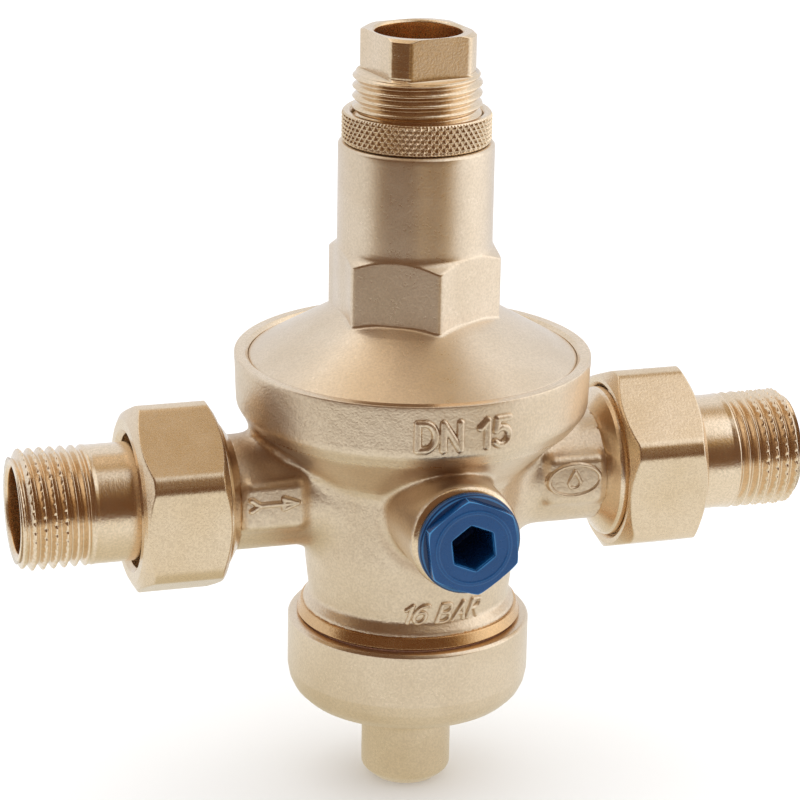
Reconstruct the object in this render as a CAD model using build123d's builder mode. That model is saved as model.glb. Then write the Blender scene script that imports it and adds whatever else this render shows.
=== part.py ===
from build123d import *
import math
import os

os.makedirs("parts", exist_ok=True)

# ---------------------------------------------------------------------------
# Driving dimensions, millimetres.
# The frame: origin at the centre of the inlet's end face, +X along the flow,
# +Z towards the adjusting screw, -Y towards the gauge port.
# ---------------------------------------------------------------------------

HALF_LENGTH = 70.2          # from the valve's own vertical axis to each pipe end
BORE_R = 7.45               # waterway in the tailpieces and ports
PIPE_THREAD_R = 10.478      # 1/2 inch pipe thread, over the crests
PIPE_THREAD_END = 58.2      # where the pipe thread stops, from the valve axis
RUN = 0.05                  # radial clearance of every running fit and thread

# Ports of the body and the union joints, distances from the valve axis
PORT_R = 10.0
PORT_NECK_END = 32.6
PORT_SHOULDER_START = 34.5
UNION_THREAD_R = 13.22      # 3/4 inch union thread, over the crests
PORT_END = 41.5
GASKET_THICK = 2.0
COLLAR_R = 12.85
COLLAR_THICK = 3.5
TAIL_R = 10.2               # plain neck between the union nut and the pipe thread
NUT_START = 35.5
NUT_END = 50.5
NUT_FLATS = 30.6
NUT_CORNER_R = 17.0
NUT_HOLE_R = 11.5
NUT_FACE_R = 14.9           # edge of the round faces inside the chamfers
NUT_CHAMFER = 1.8           # depth of the outer chamfer at the corners
INLET_NUT_TURN = 26.9       # how far one corner stands above the -Y direction
OUTLET_NUT_TURN = 23.0

# Body casting, heights from the pipe axis
RIM_R = 30.8
RIM_TOP = 23.3
RIM_BORE_R = 28.45
LEDGE_Z = 14.0              # the ledge under the diaphragm's rim
LEDGE_BORE_R = 24.5
LEDGE_THICK = 1.4
WAIST_R = 17.5
LIP_R = 19.75
LIP_Z = -24.8
LIP_BAND = 2.2              # height of the turned band above the lip
SPIGOT_R = 17.9
SPIGOT_Z = -35.5
CHAMBER_R = 14.5
CHAMBER_TOP = -9.0
UPPER_CHAMBER_R = 8.0
UPPER_CHAMBER_Z = (-4.5, 6.5)
BOWL_FLOOR_Z = 8.5
BOWL_FLOOR_R = 16.5
INLET_PASSAGE_END = 12.5    # from the valve axis, where the inlet bore stops
INLET_DROP_X = 13.6         # middle of the drop to the lower chamber
INLET_DROP_SIZE = (6.4, 9.6)
INLET_DROP_DEPTH = 12.0
OUTLET_PASSAGE_R = 6.3
OUTLET_BORE_START = 24.0    # from the valve axis, where the outlet widens to the full bore
SENSING_CIRCLE_R = 5.5      # sensing holes between outlet and diaphragm
SENSING_HOLE_R = 1.1
SENSING_HOLES = 4
PAD_X = 27.1                # marking pads, from the valve axis
PAD_Z = 0.7
PAD_FACE = 10.9
PAD_BACK = 6.0
PAD_SIZE = (10.4, 8.6)
PAD_CORNER_R = 1.2

# Gauge port and its plug, distances along -Y from the valve axis
GAUGE_Z = 0.4
GAUGE_BOSS_R = 9.4
GAUGE_FACE = 32.6
GAUGE_THREAD_R = 6.578      # 1/4 inch pipe thread, over the crests
GAUGE_THREAD_START = 22.0
GAUGE_PASSAGE_R = 2.0
GAUGE_PASSAGE_START = 5.0
SEAL_R = 8.2
PLUG_SHANK_START = 23.5
PLUG_SEAT = 33.3
PLUG_FLANGE_R = 8.75
PLUG_FLANGE_END = 34.8
PLUG_FACE = 36.85
PLUG_HEX_R = 8.65
PLUG_TURN = 7.0
PLUG_SOCKET_R = 4.0
PLUG_SOCKET_FLOOR = 25.5

# Bonnet (spring housing)
BONNET_R = 28.4
BONNET_BASE = 16.5
BONNET_CAVITY_R = 23.5
BONNET_CAVITY_Z = (18.5, 27.5)  # where the cavity starts to narrow, and where it ends in the tube
CONE_EDGE_Z = 22.9
TUBE_R = 13.3
TUBE_TOP = 60.5
HEX_FLATS = 26.5
HEX_TOP = 42.6
SCREW_R = 11.0              # M22 adjusting thread

# Adjusting screw and lock ring
SCREW_BOTTOM = 52.0
SCREW_TOP = 79.6
HEAD_BASE = 72.6
HEAD_R = 9.9
HEAD_FLATS = 16.3
HEAD_TURN = -79.4
SOCKET_R = 7.4
SOCKET_FLOOR = 55.5
LOCK_RING_R = 12.8
LOCK_RING_Z = (60.6, 65.85)

# Spring, diaphragm and stem, shown with the valve fully open
DIAPHRAGM_THICK = 1.5
SPRING_R = 8.5
SPRING_WIRE_R = 1.3
SPRING_TURNS = 8
SPRING_TOP = 49.5
PLATE_TOP = 15.2
STEM_R = 3.0
STEM_TAIL_R = 4.0
STEM_TRAVEL = 2.4
SEAT_Z = -11.2
DISC_TOP = SEAT_Z - STEM_TRAVEL - 0.1

# Bottom cap
CAP_R = 21.3
CAP_TOP = -25.0
CAP_BOSS_R = 7.93
CAP_BOSS_TOP = -44.8
CAP_WALL_END = -34.6        # where the straight wall turns into the dome
CAP_BOTTOM = -56.5
CAP_GASKET_R = 19.2
CAP_GASKET_THICK = 1.0
CAP_LEDGE_Z = -35.6         # just below the body's spigot
CAP_CHAMBER_R = 13.5
CAP_CHAMBER_Z = -38.6
GUIDE_BOTTOM = -52.5        # floor of the stem's guide bore

UPRIGHT = Axis((HALF_LENGTH, 0, 0), (0, 0, 1))
SECTION = Plane(origin=(HALF_LENGTH, 0, 0), x_dir=(1, 0, 0), z_dir=(0, -1, 0))
GAUGE_AXIS = Axis((HALF_LENGTH, 0, GAUGE_Z), (0, -1, 0))
GAUGE_SECTION = Plane(origin=(HALF_LENGTH, 0, GAUGE_Z), x_dir=(0, -1, 0), z_dir=(-1, 0, 0))


def level(height):
    """A plane square to the valve's own axis, centred on it."""
    return Plane(origin=(HALF_LENGTH, 0, height), x_dir=(1, 0, 0), z_dir=(0, 0, 1))


def port_section(side):
    """The upright section plane whose x runs outwards along one port."""
    return Plane(origin=(HALF_LENGTH, 0, 0), x_dir=(side, 0, 0), z_dir=(0, -side, 0))


def port_plane(side, distance):
    """A plane square to the pipe axis, facing out of the port."""
    return Plane(origin=(HALF_LENGTH + side * distance, 0, 0), x_dir=(0, 1, 0), z_dir=(side, 0, 0))


def gauge_plane(distance):
    """A plane square to the gauge port's axis, facing out of it."""
    return Plane(origin=(HALF_LENGTH, -distance, GAUGE_Z), x_dir=(1, 0, 0), z_dir=(0, -1, 0))


def save(part, name):
    """Label one finished piece and write it."""
    part.label = name
    export_step(part, f"parts/{name}.step")


# ---------------------------------------------------------------------------
# Valve body: cast bowl and rim, two ports, the gauge boss, the lower spigot
# ---------------------------------------------------------------------------

BODY_OUTLINE = [
    (0, SPIGOT_Z),
    (SPIGOT_R, SPIGOT_Z),
    (SPIGOT_R, LIP_Z),
    (LIP_R, LIP_Z),
    (LIP_R - 0.55, LIP_Z + LIP_BAND),
    (WAIST_R + 0.2, -20.9),
    (WAIST_R, -20.0),
    (18.0, -18.0),
    (18.9, -10.0),
    (19.3, -3.0),
    (19.3, 3.4),
    (24.5, 7.9),
    (29.2, 12.2),
    (30.5, 14.2),
    (RIM_R, 21.9),
    (30.4, RIM_TOP - 0.4),
    (29.7, RIM_TOP),
    (0, RIM_TOP),
]

with BuildPart() as valve_body:
    with BuildSketch(SECTION):
        with BuildLine():
            Polyline(*BODY_OUTLINE, close=True)
        make_face()
    revolve(axis=UPRIGHT)
    for side in (-1, 1):
        with BuildSketch(port_section(side)):
            with BuildLine():
                Polyline(
                    (0, 0),
                    (0, PORT_R),
                    (PORT_NECK_END, PORT_R),
                    (PORT_SHOULDER_START, UNION_THREAD_R - 0.3),
                    (PORT_SHOULDER_START + 0.8, UNION_THREAD_R),
                    (PORT_END - 0.8, UNION_THREAD_R),
                    (PORT_END, UNION_THREAD_R - 0.8),
                    (PORT_END, 0),
                    close=True,
                )
            make_face()
        revolve(axis=Axis.X)
    with BuildSketch(GAUGE_SECTION):
        with BuildLine():
            Polyline(
                (10, 0),
                (10, GAUGE_BOSS_R + 1.6),
                (17.5, GAUGE_BOSS_R + 1.1),
                (20.5, GAUGE_BOSS_R + 0.1),
                (23.0, GAUGE_BOSS_R),
                (GAUGE_FACE - 0.3, GAUGE_BOSS_R),
                (GAUGE_FACE, GAUGE_BOSS_R - 0.3),
                (GAUGE_FACE, 0),
                close=True,
            )
        make_face()
    revolve(axis=GAUGE_AXIS)
    # flat marking pads on the front of both ports
    for side in (-1, 1):
        with BuildSketch(Plane(origin=(HALF_LENGTH + side * PAD_X, -PAD_BACK, PAD_Z), z_dir=(0, -1, 0))):
            RectangleRounded(*PAD_SIZE, PAD_CORNER_R)
        extrude(amount=PAD_FACE - PAD_BACK)
    # bonnet thread, diaphragm ledge and bowl
    with BuildSketch(SECTION):
        with BuildLine():
            Polyline(
                (0, RIM_TOP + 1),
                (RIM_BORE_R, RIM_TOP + 1),
                (RIM_BORE_R, LEDGE_Z),
                (LEDGE_BORE_R, LEDGE_Z),
                (LEDGE_BORE_R, LEDGE_Z - LEDGE_THICK),
                (BOWL_FLOOR_R, BOWL_FLOOR_Z),
                (0, BOWL_FLOOR_Z),
                close=True,
            )
        make_face()
    revolve(axis=UPRIGHT, mode=Mode.SUBTRACT)
    # lower chamber, seat ring bore, upper chamber and stem guide
    for radius, low, high in (
        (CHAMBER_R, SPIGOT_Z - 1, CHAMBER_TOP),
        (UPPER_CHAMBER_R, CHAMBER_TOP - 1, UPPER_CHAMBER_Z[1]),
        (STEM_R + RUN, 0, BOWL_FLOOR_Z + 1),
    ):
        with BuildSketch(level(low)):
            Circle(radius)
        extrude(amount=high - low, mode=Mode.SUBTRACT)
    # inlet passage, its drop to the lower chamber, and the outlet passage
    with BuildSketch(port_plane(-1, INLET_PASSAGE_END)):
        Circle(BORE_R)
    extrude(amount=PORT_END, mode=Mode.SUBTRACT)
    with BuildSketch(level(-INLET_DROP_DEPTH)):
        with Locations((-INLET_DROP_X, 0)):
            Rectangle(*INLET_DROP_SIZE)
    extrude(amount=INLET_DROP_DEPTH, mode=Mode.SUBTRACT)
    with BuildSketch(port_plane(1, 0)):
        Circle(OUTLET_PASSAGE_R)
    extrude(amount=PORT_END, mode=Mode.SUBTRACT)
    with BuildSketch(port_plane(1, OUTLET_BORE_START)):
        Circle(BORE_R)
    extrude(amount=PORT_END, mode=Mode.SUBTRACT)
    # sensing holes from the outlet chamber to the diaphragm
    with BuildSketch(level(0)):
        with PolarLocations(SENSING_CIRCLE_R, SENSING_HOLES, start_angle=45):
            Circle(SENSING_HOLE_R)
    extrude(amount=BOWL_FLOOR_Z + 1, mode=Mode.SUBTRACT)
    # threaded gauge port and its passage
    with BuildSketch(gauge_plane(GAUGE_THREAD_START)):
        Circle(GAUGE_THREAD_R + RUN)
    extrude(amount=GAUGE_FACE, mode=Mode.SUBTRACT)
    with BuildSketch(gauge_plane(GAUGE_PASSAGE_START)):
        Circle(GAUGE_PASSAGE_R)
    extrude(amount=GAUGE_THREAD_START, mode=Mode.SUBTRACT)
save(valve_body.part, "valve_body")

# ---------------------------------------------------------------------------
# Bonnet: threaded disc, cone, hexagon and spring tube
# ---------------------------------------------------------------------------

CONE_SLOPE = 0.5625          # rise of the cone for each millimetre inwards
HEX_DEPTH = 3.0             # how far the hexagon reaches into the cone
HEX_FOOT_Z = CONE_EDGE_Z + (BONNET_R - TUBE_R) * CONE_SLOPE
HEX_CORNER_R = HEX_FLATS / math.sqrt(3) - 0.25

with BuildPart() as hexagon:
    with BuildSketch(level(HEX_FOOT_Z - HEX_DEPTH)):
        RegularPolygon(HEX_FLATS / 2, 6, major_radius=False, rotation=30)
    extrude(amount=HEX_TOP - HEX_FOOT_Z + HEX_DEPTH)
    with BuildSketch(SECTION):
        with BuildLine():
            Polyline(
                (0, HEX_FOOT_Z - HEX_DEPTH),
                (HEX_CORNER_R, HEX_FOOT_Z - HEX_DEPTH),
                (HEX_CORNER_R, HEX_TOP - 1.7),
                (TUBE_R - 0.05, HEX_TOP),
                (0, HEX_TOP),
                close=True,
            )
        make_face()
    revolve(axis=UPRIGHT, mode=Mode.INTERSECT)

with BuildPart() as bonnet:
    with BuildSketch(SECTION):
        with BuildLine():
            Polyline(
                (0, BONNET_BASE),
                (BONNET_R - 0.6, BONNET_BASE),
                (BONNET_R, BONNET_BASE + 0.6),
                (BONNET_R, CONE_EDGE_Z - 0.3),
                (BONNET_R - 0.3, CONE_EDGE_Z),
                (TUBE_R, HEX_FOOT_Z),
                (TUBE_R, TUBE_TOP - 0.4),
                (TUBE_R - 0.4, TUBE_TOP),
                (0, TUBE_TOP),
                close=True,
            )
        make_face()
    revolve(axis=UPRIGHT)
    add(hexagon.part)
    with BuildSketch(SECTION):
        with BuildLine():
            Polyline(
                (0, BONNET_BASE - 1),
                (BONNET_CAVITY_R, BONNET_BASE - 1),
                (BONNET_CAVITY_R, BONNET_CAVITY_Z[0]),
                (SCREW_R + RUN, BONNET_CAVITY_Z[1]),
                (SCREW_R + RUN, TUBE_TOP + 1),
                (0, TUBE_TOP + 1),
                close=True,
            )
        make_face()
    revolve(axis=UPRIGHT, mode=Mode.SUBTRACT)
save(bonnet.part, "bonnet")

# ---------------------------------------------------------------------------
# Bottom cap, its gasket, the slip ring and the seat ring
# ---------------------------------------------------------------------------

with BuildPart() as bottom_cap:
    with BuildSketch(SECTION):
        with BuildLine():
            rim = Polyline(
                (0, CAP_TOP),
                (CAP_R - 0.6, CAP_TOP),
                (CAP_R, CAP_TOP - 0.6),
                (CAP_R, CAP_WALL_END),
            )
            dome = Spline(
                rim @ 1,
                (18.9, -39.7),
                (11.0, -42.4),
                (CAP_BOSS_R, CAP_BOSS_TOP),
                tangents=((0, -1), (0, -1)),
            )
            boss = Polyline(
                dome @ 1,
                (CAP_BOSS_R, CAP_BOTTOM + 2.2),
                (CAP_BOSS_R - 0.6, CAP_BOTTOM + 0.8),
                (CAP_BOSS_R - 2.2, CAP_BOTTOM),
                (0, CAP_BOTTOM),
                (0, CAP_TOP),
            )
        make_face()
    revolve(axis=UPRIGHT)
    for radius, low, high in (
        (CAP_GASKET_R + 0.1, LIP_Z - CAP_GASKET_THICK, CAP_TOP + 1),
        (SPIGOT_R + RUN, CAP_LEDGE_Z, CAP_TOP + 1),
        (CAP_CHAMBER_R, CAP_CHAMBER_Z, CAP_TOP),
        (STEM_TAIL_R + RUN, GUIDE_BOTTOM, CAP_TOP),
    ):
        with BuildSketch(level(low)):
            Circle(radius)
        extrude(amount=high - low, mode=Mode.SUBTRACT)
save(bottom_cap.part, "bottom_cap")

with BuildPart() as cap_gasket:
    with BuildSketch(level(LIP_Z - CAP_GASKET_THICK)):
        Circle(CAP_GASKET_R)
        Circle(SPIGOT_R + 0.1, mode=Mode.SUBTRACT)
    extrude(amount=CAP_GASKET_THICK)
save(cap_gasket.part, "cap_gasket")

with BuildPart() as slip_ring:
    with BuildSketch(level(LEDGE_Z + DIAPHRAGM_THICK)):
        Circle(RIM_BORE_R - 0.15)
        Circle(LEDGE_BORE_R, mode=Mode.SUBTRACT)
    extrude(amount=BONNET_BASE - LEDGE_Z - DIAPHRAGM_THICK)
save(slip_ring.part, "slip_ring")

SEAT_BORE_R = 6.0
SEAT_FLANGE_R = 10.0
SEAT_FLANGE_THICK = 1.5

with BuildPart() as seat_ring:
    with BuildSketch(SECTION):
        with BuildLine():
            Polyline(
                (SEAT_BORE_R, SEAT_Z),
                (SEAT_BORE_R + 0.6, SEAT_Z),
                (SEAT_BORE_R + 1.4, CHAMBER_TOP - SEAT_FLANGE_THICK),
                (SEAT_FLANGE_R, CHAMBER_TOP - SEAT_FLANGE_THICK),
                (SEAT_FLANGE_R, CHAMBER_TOP),
                (UPPER_CHAMBER_R, CHAMBER_TOP),
                (UPPER_CHAMBER_R, UPPER_CHAMBER_Z[0]),
                (SEAT_BORE_R, UPPER_CHAMBER_Z[0]),
                close=True,
            )
        make_face()
    revolve(axis=UPRIGHT)
save(seat_ring.part, "seat_ring")

# ---------------------------------------------------------------------------
# Diaphragm: clamped rim, one dished fold, clamped centre
# ---------------------------------------------------------------------------

CENTRE_Z = LEDGE_Z - 2.5    # underside of the diaphragm's clamped centre
CENTRE_R = 16.5             # where the dished fold starts
FOLD_END_R = 23.0           # and where it meets the rim
DIAPHRAGM_R = 28.2

with BuildPart() as diaphragm:
    with BuildSketch(SECTION):
        with BuildLine():
            Polyline(
                (STEM_R, CENTRE_Z),
                (CENTRE_R, CENTRE_Z),
                (FOLD_END_R, LEDGE_Z),
                (DIAPHRAGM_R, LEDGE_Z),
                (DIAPHRAGM_R, LEDGE_Z + DIAPHRAGM_THICK),
                (FOLD_END_R - 0.4, LEDGE_Z + DIAPHRAGM_THICK),
                (CENTRE_R - 0.4, CENTRE_Z + DIAPHRAGM_THICK),
                (STEM_R, CENTRE_Z + DIAPHRAGM_THICK),
                close=True,
            )
        make_face()
    revolve(axis=UPRIGHT)
save(diaphragm.part, "diaphragm")

# ---------------------------------------------------------------------------
# Stem assembly, which rises to close
# ---------------------------------------------------------------------------

HOLDER_BOTTOM = DISC_TOP - 7.0
HOLDER_R = 9.8
DISC_R = 8.75
DISC_THICK = 2.4
DISC_NUT_FLATS = 8.0
DISC_NUT_THICK = 2.6
WASHER_R = 14.5
WASHER_THICK = 1.5
SPRING_PLATE_R = 15.0
SPRING_CENTRING_R = 6.7     # shoulder that keeps the spring's end central
SPRING_CENTRING_TOP = PLATE_TOP + 2.3
STEM_NUT_FLATS = 10.0
STEM_NUT_THICK = 4.0
STEM_TOP = PLATE_TOP + 7.5
STEM_BOTTOM = -50.0
O_RING_Z = -46.0
O_RING_WIRE_R = 0.5
O_RING_SQUEEZE = 0.03
O_RING_GROOVE = 1.6

with BuildPart() as valve_stem:
    for radius, low, high in (
        (STEM_TAIL_R, STEM_BOTTOM, HOLDER_BOTTOM),
        (STEM_R, HOLDER_BOTTOM, STEM_TOP),
    ):
        with BuildSketch(level(low)):
            Circle(radius)
        extrude(amount=high - low)
    with BuildSketch(SECTION):
        with Locations((STEM_TAIL_R, O_RING_Z)):
            Rectangle(2 * (2 * O_RING_WIRE_R - O_RING_SQUEEZE), O_RING_GROOVE)
    revolve(axis=UPRIGHT, mode=Mode.SUBTRACT)
save(valve_stem.part, "valve_stem")

with BuildPart() as stem_o_ring:
    with BuildSketch(SECTION):
        with Locations((STEM_TAIL_R + O_RING_SQUEEZE - O_RING_WIRE_R, O_RING_Z)):
            Circle(O_RING_WIRE_R)
    revolve(axis=UPRIGHT)
save(stem_o_ring.part, "stem_o_ring")

with BuildPart() as disc_holder:
    with BuildSketch(SECTION):
        with BuildLine():
            Polyline(
                (STEM_R, HOLDER_BOTTOM),
                (6.5, HOLDER_BOTTOM),
                (HOLDER_R, DISC_TOP - 4.0),
                (HOLDER_R, DISC_TOP - 1.0),
                (DISC_R + RUN, DISC_TOP - 1.0),
                (DISC_R + RUN, DISC_TOP - DISC_THICK),
                (STEM_R, DISC_TOP - DISC_THICK),
                close=True,
            )
        make_face()
    revolve(axis=UPRIGHT)
save(disc_holder.part, "disc_holder")

with BuildPart() as valve_disc:
    with BuildSketch(level(DISC_TOP - DISC_THICK)):
        Circle(DISC_R)
        Circle(STEM_R, mode=Mode.SUBTRACT)
    extrude(amount=DISC_THICK)
save(valve_disc.part, "valve_disc")

with BuildPart() as disc_nut:
    with BuildSketch(level(DISC_TOP)):
        RegularPolygon(DISC_NUT_FLATS / 2, 6, major_radius=False)
        Circle(STEM_R, mode=Mode.SUBTRACT)
    extrude(amount=DISC_NUT_THICK)
save(disc_nut.part, "disc_nut")

with BuildPart() as diaphragm_washer:
    with BuildSketch(level(CENTRE_Z - WASHER_THICK)):
        Circle(WASHER_R)
        Circle(STEM_R, mode=Mode.SUBTRACT)
    extrude(amount=WASHER_THICK)
    chamfer(diaphragm_washer.edges().group_by(Axis.Z)[0].sort_by(SortBy.RADIUS)[-1], 0.5)
save(diaphragm_washer.part, "diaphragm_washer")

with BuildPart() as lower_spring_plate:
    with BuildSketch(SECTION):
        with BuildLine():
            Polyline(
                (STEM_R, CENTRE_Z + DIAPHRAGM_THICK),
                (SPRING_PLATE_R, CENTRE_Z + DIAPHRAGM_THICK),
                (SPRING_PLATE_R, PLATE_TOP - 0.6),
                (SPRING_PLATE_R - 0.6, PLATE_TOP),
                (SPRING_CENTRING_R, PLATE_TOP),
                (SPRING_CENTRING_R, SPRING_CENTRING_TOP - 0.5),
                (SPRING_CENTRING_R - 0.5, SPRING_CENTRING_TOP),
                (STEM_R, SPRING_CENTRING_TOP),
                close=True,
            )
        make_face()
    revolve(axis=UPRIGHT)
save(lower_spring_plate.part, "lower_spring_plate")

with BuildPart() as stem_nut:
    with BuildSketch(level(SPRING_CENTRING_TOP)):
        RegularPolygon(STEM_NUT_FLATS / 2, 6, major_radius=False)
        Circle(STEM_R, mode=Mode.SUBTRACT)
    extrude(amount=STEM_NUT_THICK)
save(stem_nut.part, "stem_nut")

# ---------------------------------------------------------------------------
# Adjusting spring, upper plate, screw and lock ring
# ---------------------------------------------------------------------------

SPRING_LOW = PLATE_TOP + SPRING_WIRE_R
SPRING_HIGH = SPRING_TOP - SPRING_WIRE_R
SPRING_PITCH = (SPRING_HIGH - SPRING_LOW) / SPRING_TURNS
UPPER_PLATE_R = 10.6
UPPER_PLATE_LIP = 2.0

with BuildPart() as adjusting_spring:
    with BuildLine(level(SPRING_LOW)):
        coil = Helix(SPRING_PITCH, SPRING_HIGH - SPRING_LOW, SPRING_R)
    with BuildSketch(Plane(origin=coil @ 0, z_dir=coil % 0)):
        Circle(SPRING_WIRE_R)
    sweep(path=coil, is_frenet=True)
save(adjusting_spring.part, "adjusting_spring")

with BuildPart() as upper_spring_plate:
    with BuildSketch(SECTION):
        with BuildLine():
            Polyline(
                (0, SPRING_TOP - UPPER_PLATE_LIP),
                (SPRING_CENTRING_R - 0.5, SPRING_TOP - UPPER_PLATE_LIP),
                (SPRING_CENTRING_R, SPRING_TOP - UPPER_PLATE_LIP + 0.5),
                (SPRING_CENTRING_R, SPRING_TOP),
                (UPPER_PLATE_R, SPRING_TOP),
                (UPPER_PLATE_R, SCREW_BOTTOM),
                (0, SCREW_BOTTOM),
                close=True,
            )
        make_face()
    revolve(axis=UPRIGHT)
save(upper_spring_plate.part, "upper_spring_plate")

with BuildPart() as screw_head_shape:
    with BuildSketch(level(HEAD_BASE)):
        Rectangle(HEAD_FLATS, HEAD_FLATS, rotation=HEAD_TURN)
    extrude(amount=SCREW_TOP - HEAD_BASE)
    with BuildSketch(SECTION):
        with BuildLine():
            Polyline(
                (0, HEAD_BASE),
                (HEAD_R, HEAD_BASE),
                (HEAD_R, SCREW_TOP - 0.8),
                (HEAD_R - 1.0, SCREW_TOP),
                (0, SCREW_TOP),
                close=True,
            )
        make_face()
    revolve(axis=UPRIGHT, mode=Mode.INTERSECT)

with BuildPart() as adjusting_screw:
    with BuildSketch(SECTION):
        with BuildLine():
            Polyline(
                (0, SCREW_BOTTOM),
                (SCREW_R - 0.9, SCREW_BOTTOM),
                (SCREW_R, SCREW_BOTTOM + 0.9),
                (SCREW_R, HEAD_BASE - 0.2),
                (SCREW_R - 1.1, HEAD_BASE + 0.7),
                (0, HEAD_BASE + 0.7),
                close=True,
            )
        make_face()
    revolve(axis=UPRIGHT)
    add(screw_head_shape.part)
    with BuildSketch(SECTION):
        with BuildLine():
            Polyline(
                (0, SOCKET_FLOOR),
                (SOCKET_R - 0.6, SOCKET_FLOOR + 0.5),
                (SOCKET_R, SCREW_TOP - 0.6),
                (SOCKET_R + 0.6, SCREW_TOP),
                (SOCKET_R + 0.6, SCREW_TOP + 1),
                (0, SCREW_TOP + 1),
                close=True,
            )
        make_face()
    revolve(axis=UPRIGHT, mode=Mode.SUBTRACT)
save(adjusting_screw.part, "adjusting_screw")

with BuildPart() as lock_ring:
    with BuildSketch(SECTION):
        with BuildLine():
            Polyline(
                (SCREW_R + RUN, LOCK_RING_Z[0]),
                (LOCK_RING_R - 0.4, LOCK_RING_Z[0]),
                (LOCK_RING_R, LOCK_RING_Z[0] + 0.4),
                (LOCK_RING_R, LOCK_RING_Z[1] - 0.4),
                (LOCK_RING_R - 0.4, LOCK_RING_Z[1]),
                (SCREW_R + RUN, LOCK_RING_Z[1]),
                close=True,
            )
        make_face()
    revolve(axis=UPRIGHT)
save(lock_ring.part, "lock_ring")

# ---------------------------------------------------------------------------
# Union joints: gasket, tailpiece and nut at each end
# ---------------------------------------------------------------------------

COLLAR_START = PORT_END + GASKET_THICK
COLLAR_END = COLLAR_START + COLLAR_THICK
NUT_LIP_START = COLLAR_END + RUN


def make_gasket(side):
    """Flat fibre ring between the port's end and the tailpiece."""
    with BuildPart() as gasket:
        with BuildSketch(port_plane(side, PORT_END)):
            Circle(COLLAR_R - 0.3)
            Circle(BORE_R + 0.3, mode=Mode.SUBTRACT)
        extrude(amount=GASKET_THICK)
    return gasket.part


def make_tailpiece(side):
    """Collar, plain neck and threaded pipe end, bored right through."""
    with BuildPart() as tailpiece:
        with BuildSketch(port_section(side)):
            with BuildLine():
                Polyline(
                    (COLLAR_START, BORE_R),
                    (COLLAR_START, COLLAR_R),
                    (COLLAR_END, COLLAR_R),
                    (COLLAR_END, TAIL_R),
                    (PIPE_THREAD_END, TAIL_R),
                    (PIPE_THREAD_END, PIPE_THREAD_R),
                    (HALF_LENGTH - 1.1, PIPE_THREAD_R),
                    (HALF_LENGTH, PIPE_THREAD_R - 1.1),
                    (HALF_LENGTH, BORE_R + 0.4),
                    (HALF_LENGTH - 0.4, BORE_R),
                    close=True,
                )
            make_face()
        revolve(axis=Axis.X)
    return tailpiece.part


def make_union_nut(side, corner_angle):
    """Hexagon nut with an inner lip that draws the tailpiece's collar in."""
    with BuildPart() as nut:
        with BuildSketch(port_plane(side, NUT_START)):
            RegularPolygon(NUT_FLATS / 2, 6, major_radius=False, rotation=180 - side * corner_angle)
        extrude(amount=NUT_END - NUT_START)
        with BuildSketch(port_section(side)):
            with BuildLine():
                Polyline(
                    (NUT_START, 0),
                    (NUT_START, NUT_FACE_R),
                    (NUT_START + 1.2, NUT_CORNER_R),
                    (NUT_END - NUT_CHAMFER, NUT_CORNER_R),
                    (NUT_END - 0.4, NUT_FACE_R),
                    (NUT_END, NUT_FACE_R - 0.8),
                    (NUT_END, 0),
                    close=True,
                )
            make_face()
        revolve(axis=Axis.X, mode=Mode.INTERSECT)
        with BuildSketch(port_section(side)):
            with BuildLine():
                Polyline(
                    (NUT_START - 1, 0),
                    (NUT_START - 1, UNION_THREAD_R + 0.7),
                    (NUT_START, UNION_THREAD_R + 0.7),
                    (NUT_START + 0.7, UNION_THREAD_R + RUN),
                    (NUT_LIP_START, UNION_THREAD_R + RUN),
                    (NUT_LIP_START, NUT_HOLE_R),
                    (NUT_END - 0.9, NUT_HOLE_R),
                    (NUT_END, NUT_HOLE_R + 0.9),
                    (NUT_END + 1, NUT_HOLE_R + 0.9),
                    (NUT_END + 1, 0),
                    close=True,
                )
            make_face()
        revolve(axis=Axis.X, mode=Mode.SUBTRACT)
    return nut.part


for end_name, side, corner_angle in (("inlet", -1, INLET_NUT_TURN), ("outlet", 1, OUTLET_NUT_TURN)):
    save(make_gasket(side), f"{end_name}_gasket")
    save(make_tailpiece(side), f"{end_name}_tailpiece")
    save(make_union_nut(side, corner_angle), f"{end_name}_union_nut")

# ---------------------------------------------------------------------------
# Gauge port: seal and plug
# ---------------------------------------------------------------------------

with BuildPart() as port_seal:
    with BuildSketch(gauge_plane(GAUGE_FACE)):
        Circle(SEAL_R)
        Circle(GAUGE_THREAD_R + RUN, mode=Mode.SUBTRACT)
    extrude(amount=PLUG_SEAT - GAUGE_FACE)
save(port_seal.part, "port_seal")

with BuildPart() as port_plug:
    with BuildSketch(GAUGE_SECTION):
        with BuildLine():
            Polyline(
                (PLUG_SHANK_START, 0),
                (PLUG_SHANK_START, GAUGE_THREAD_R - 0.7),
                (PLUG_SHANK_START + 0.7, GAUGE_THREAD_R),
                (PLUG_SEAT, GAUGE_THREAD_R),
                (PLUG_SEAT, PLUG_FLANGE_R - 0.2),
                (PLUG_SEAT + 0.3, PLUG_FLANGE_R),
                (PLUG_FLANGE_END - 0.1, PLUG_FLANGE_R),
                (PLUG_FLANGE_END, PLUG_FLANGE_R - 0.1),
                (PLUG_FLANGE_END, 0),
                close=True,
            )
        make_face()
    revolve(axis=GAUGE_AXIS)
    with BuildSketch(gauge_plane(PLUG_FLANGE_END - 0.1)):
        RegularPolygon(PLUG_HEX_R, 6, rotation=30 + PLUG_TURN)
    extrude(amount=PLUG_FACE - PLUG_FLANGE_END + 0.1)
    with BuildSketch(gauge_plane(PLUG_SOCKET_FLOOR)):
        RegularPolygon(PLUG_SOCKET_R, 6, rotation=30 + PLUG_TURN)
    extrude(amount=PLUG_FACE, mode=Mode.SUBTRACT)
save(port_plug.part, "port_plug")
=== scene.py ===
import math

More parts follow.
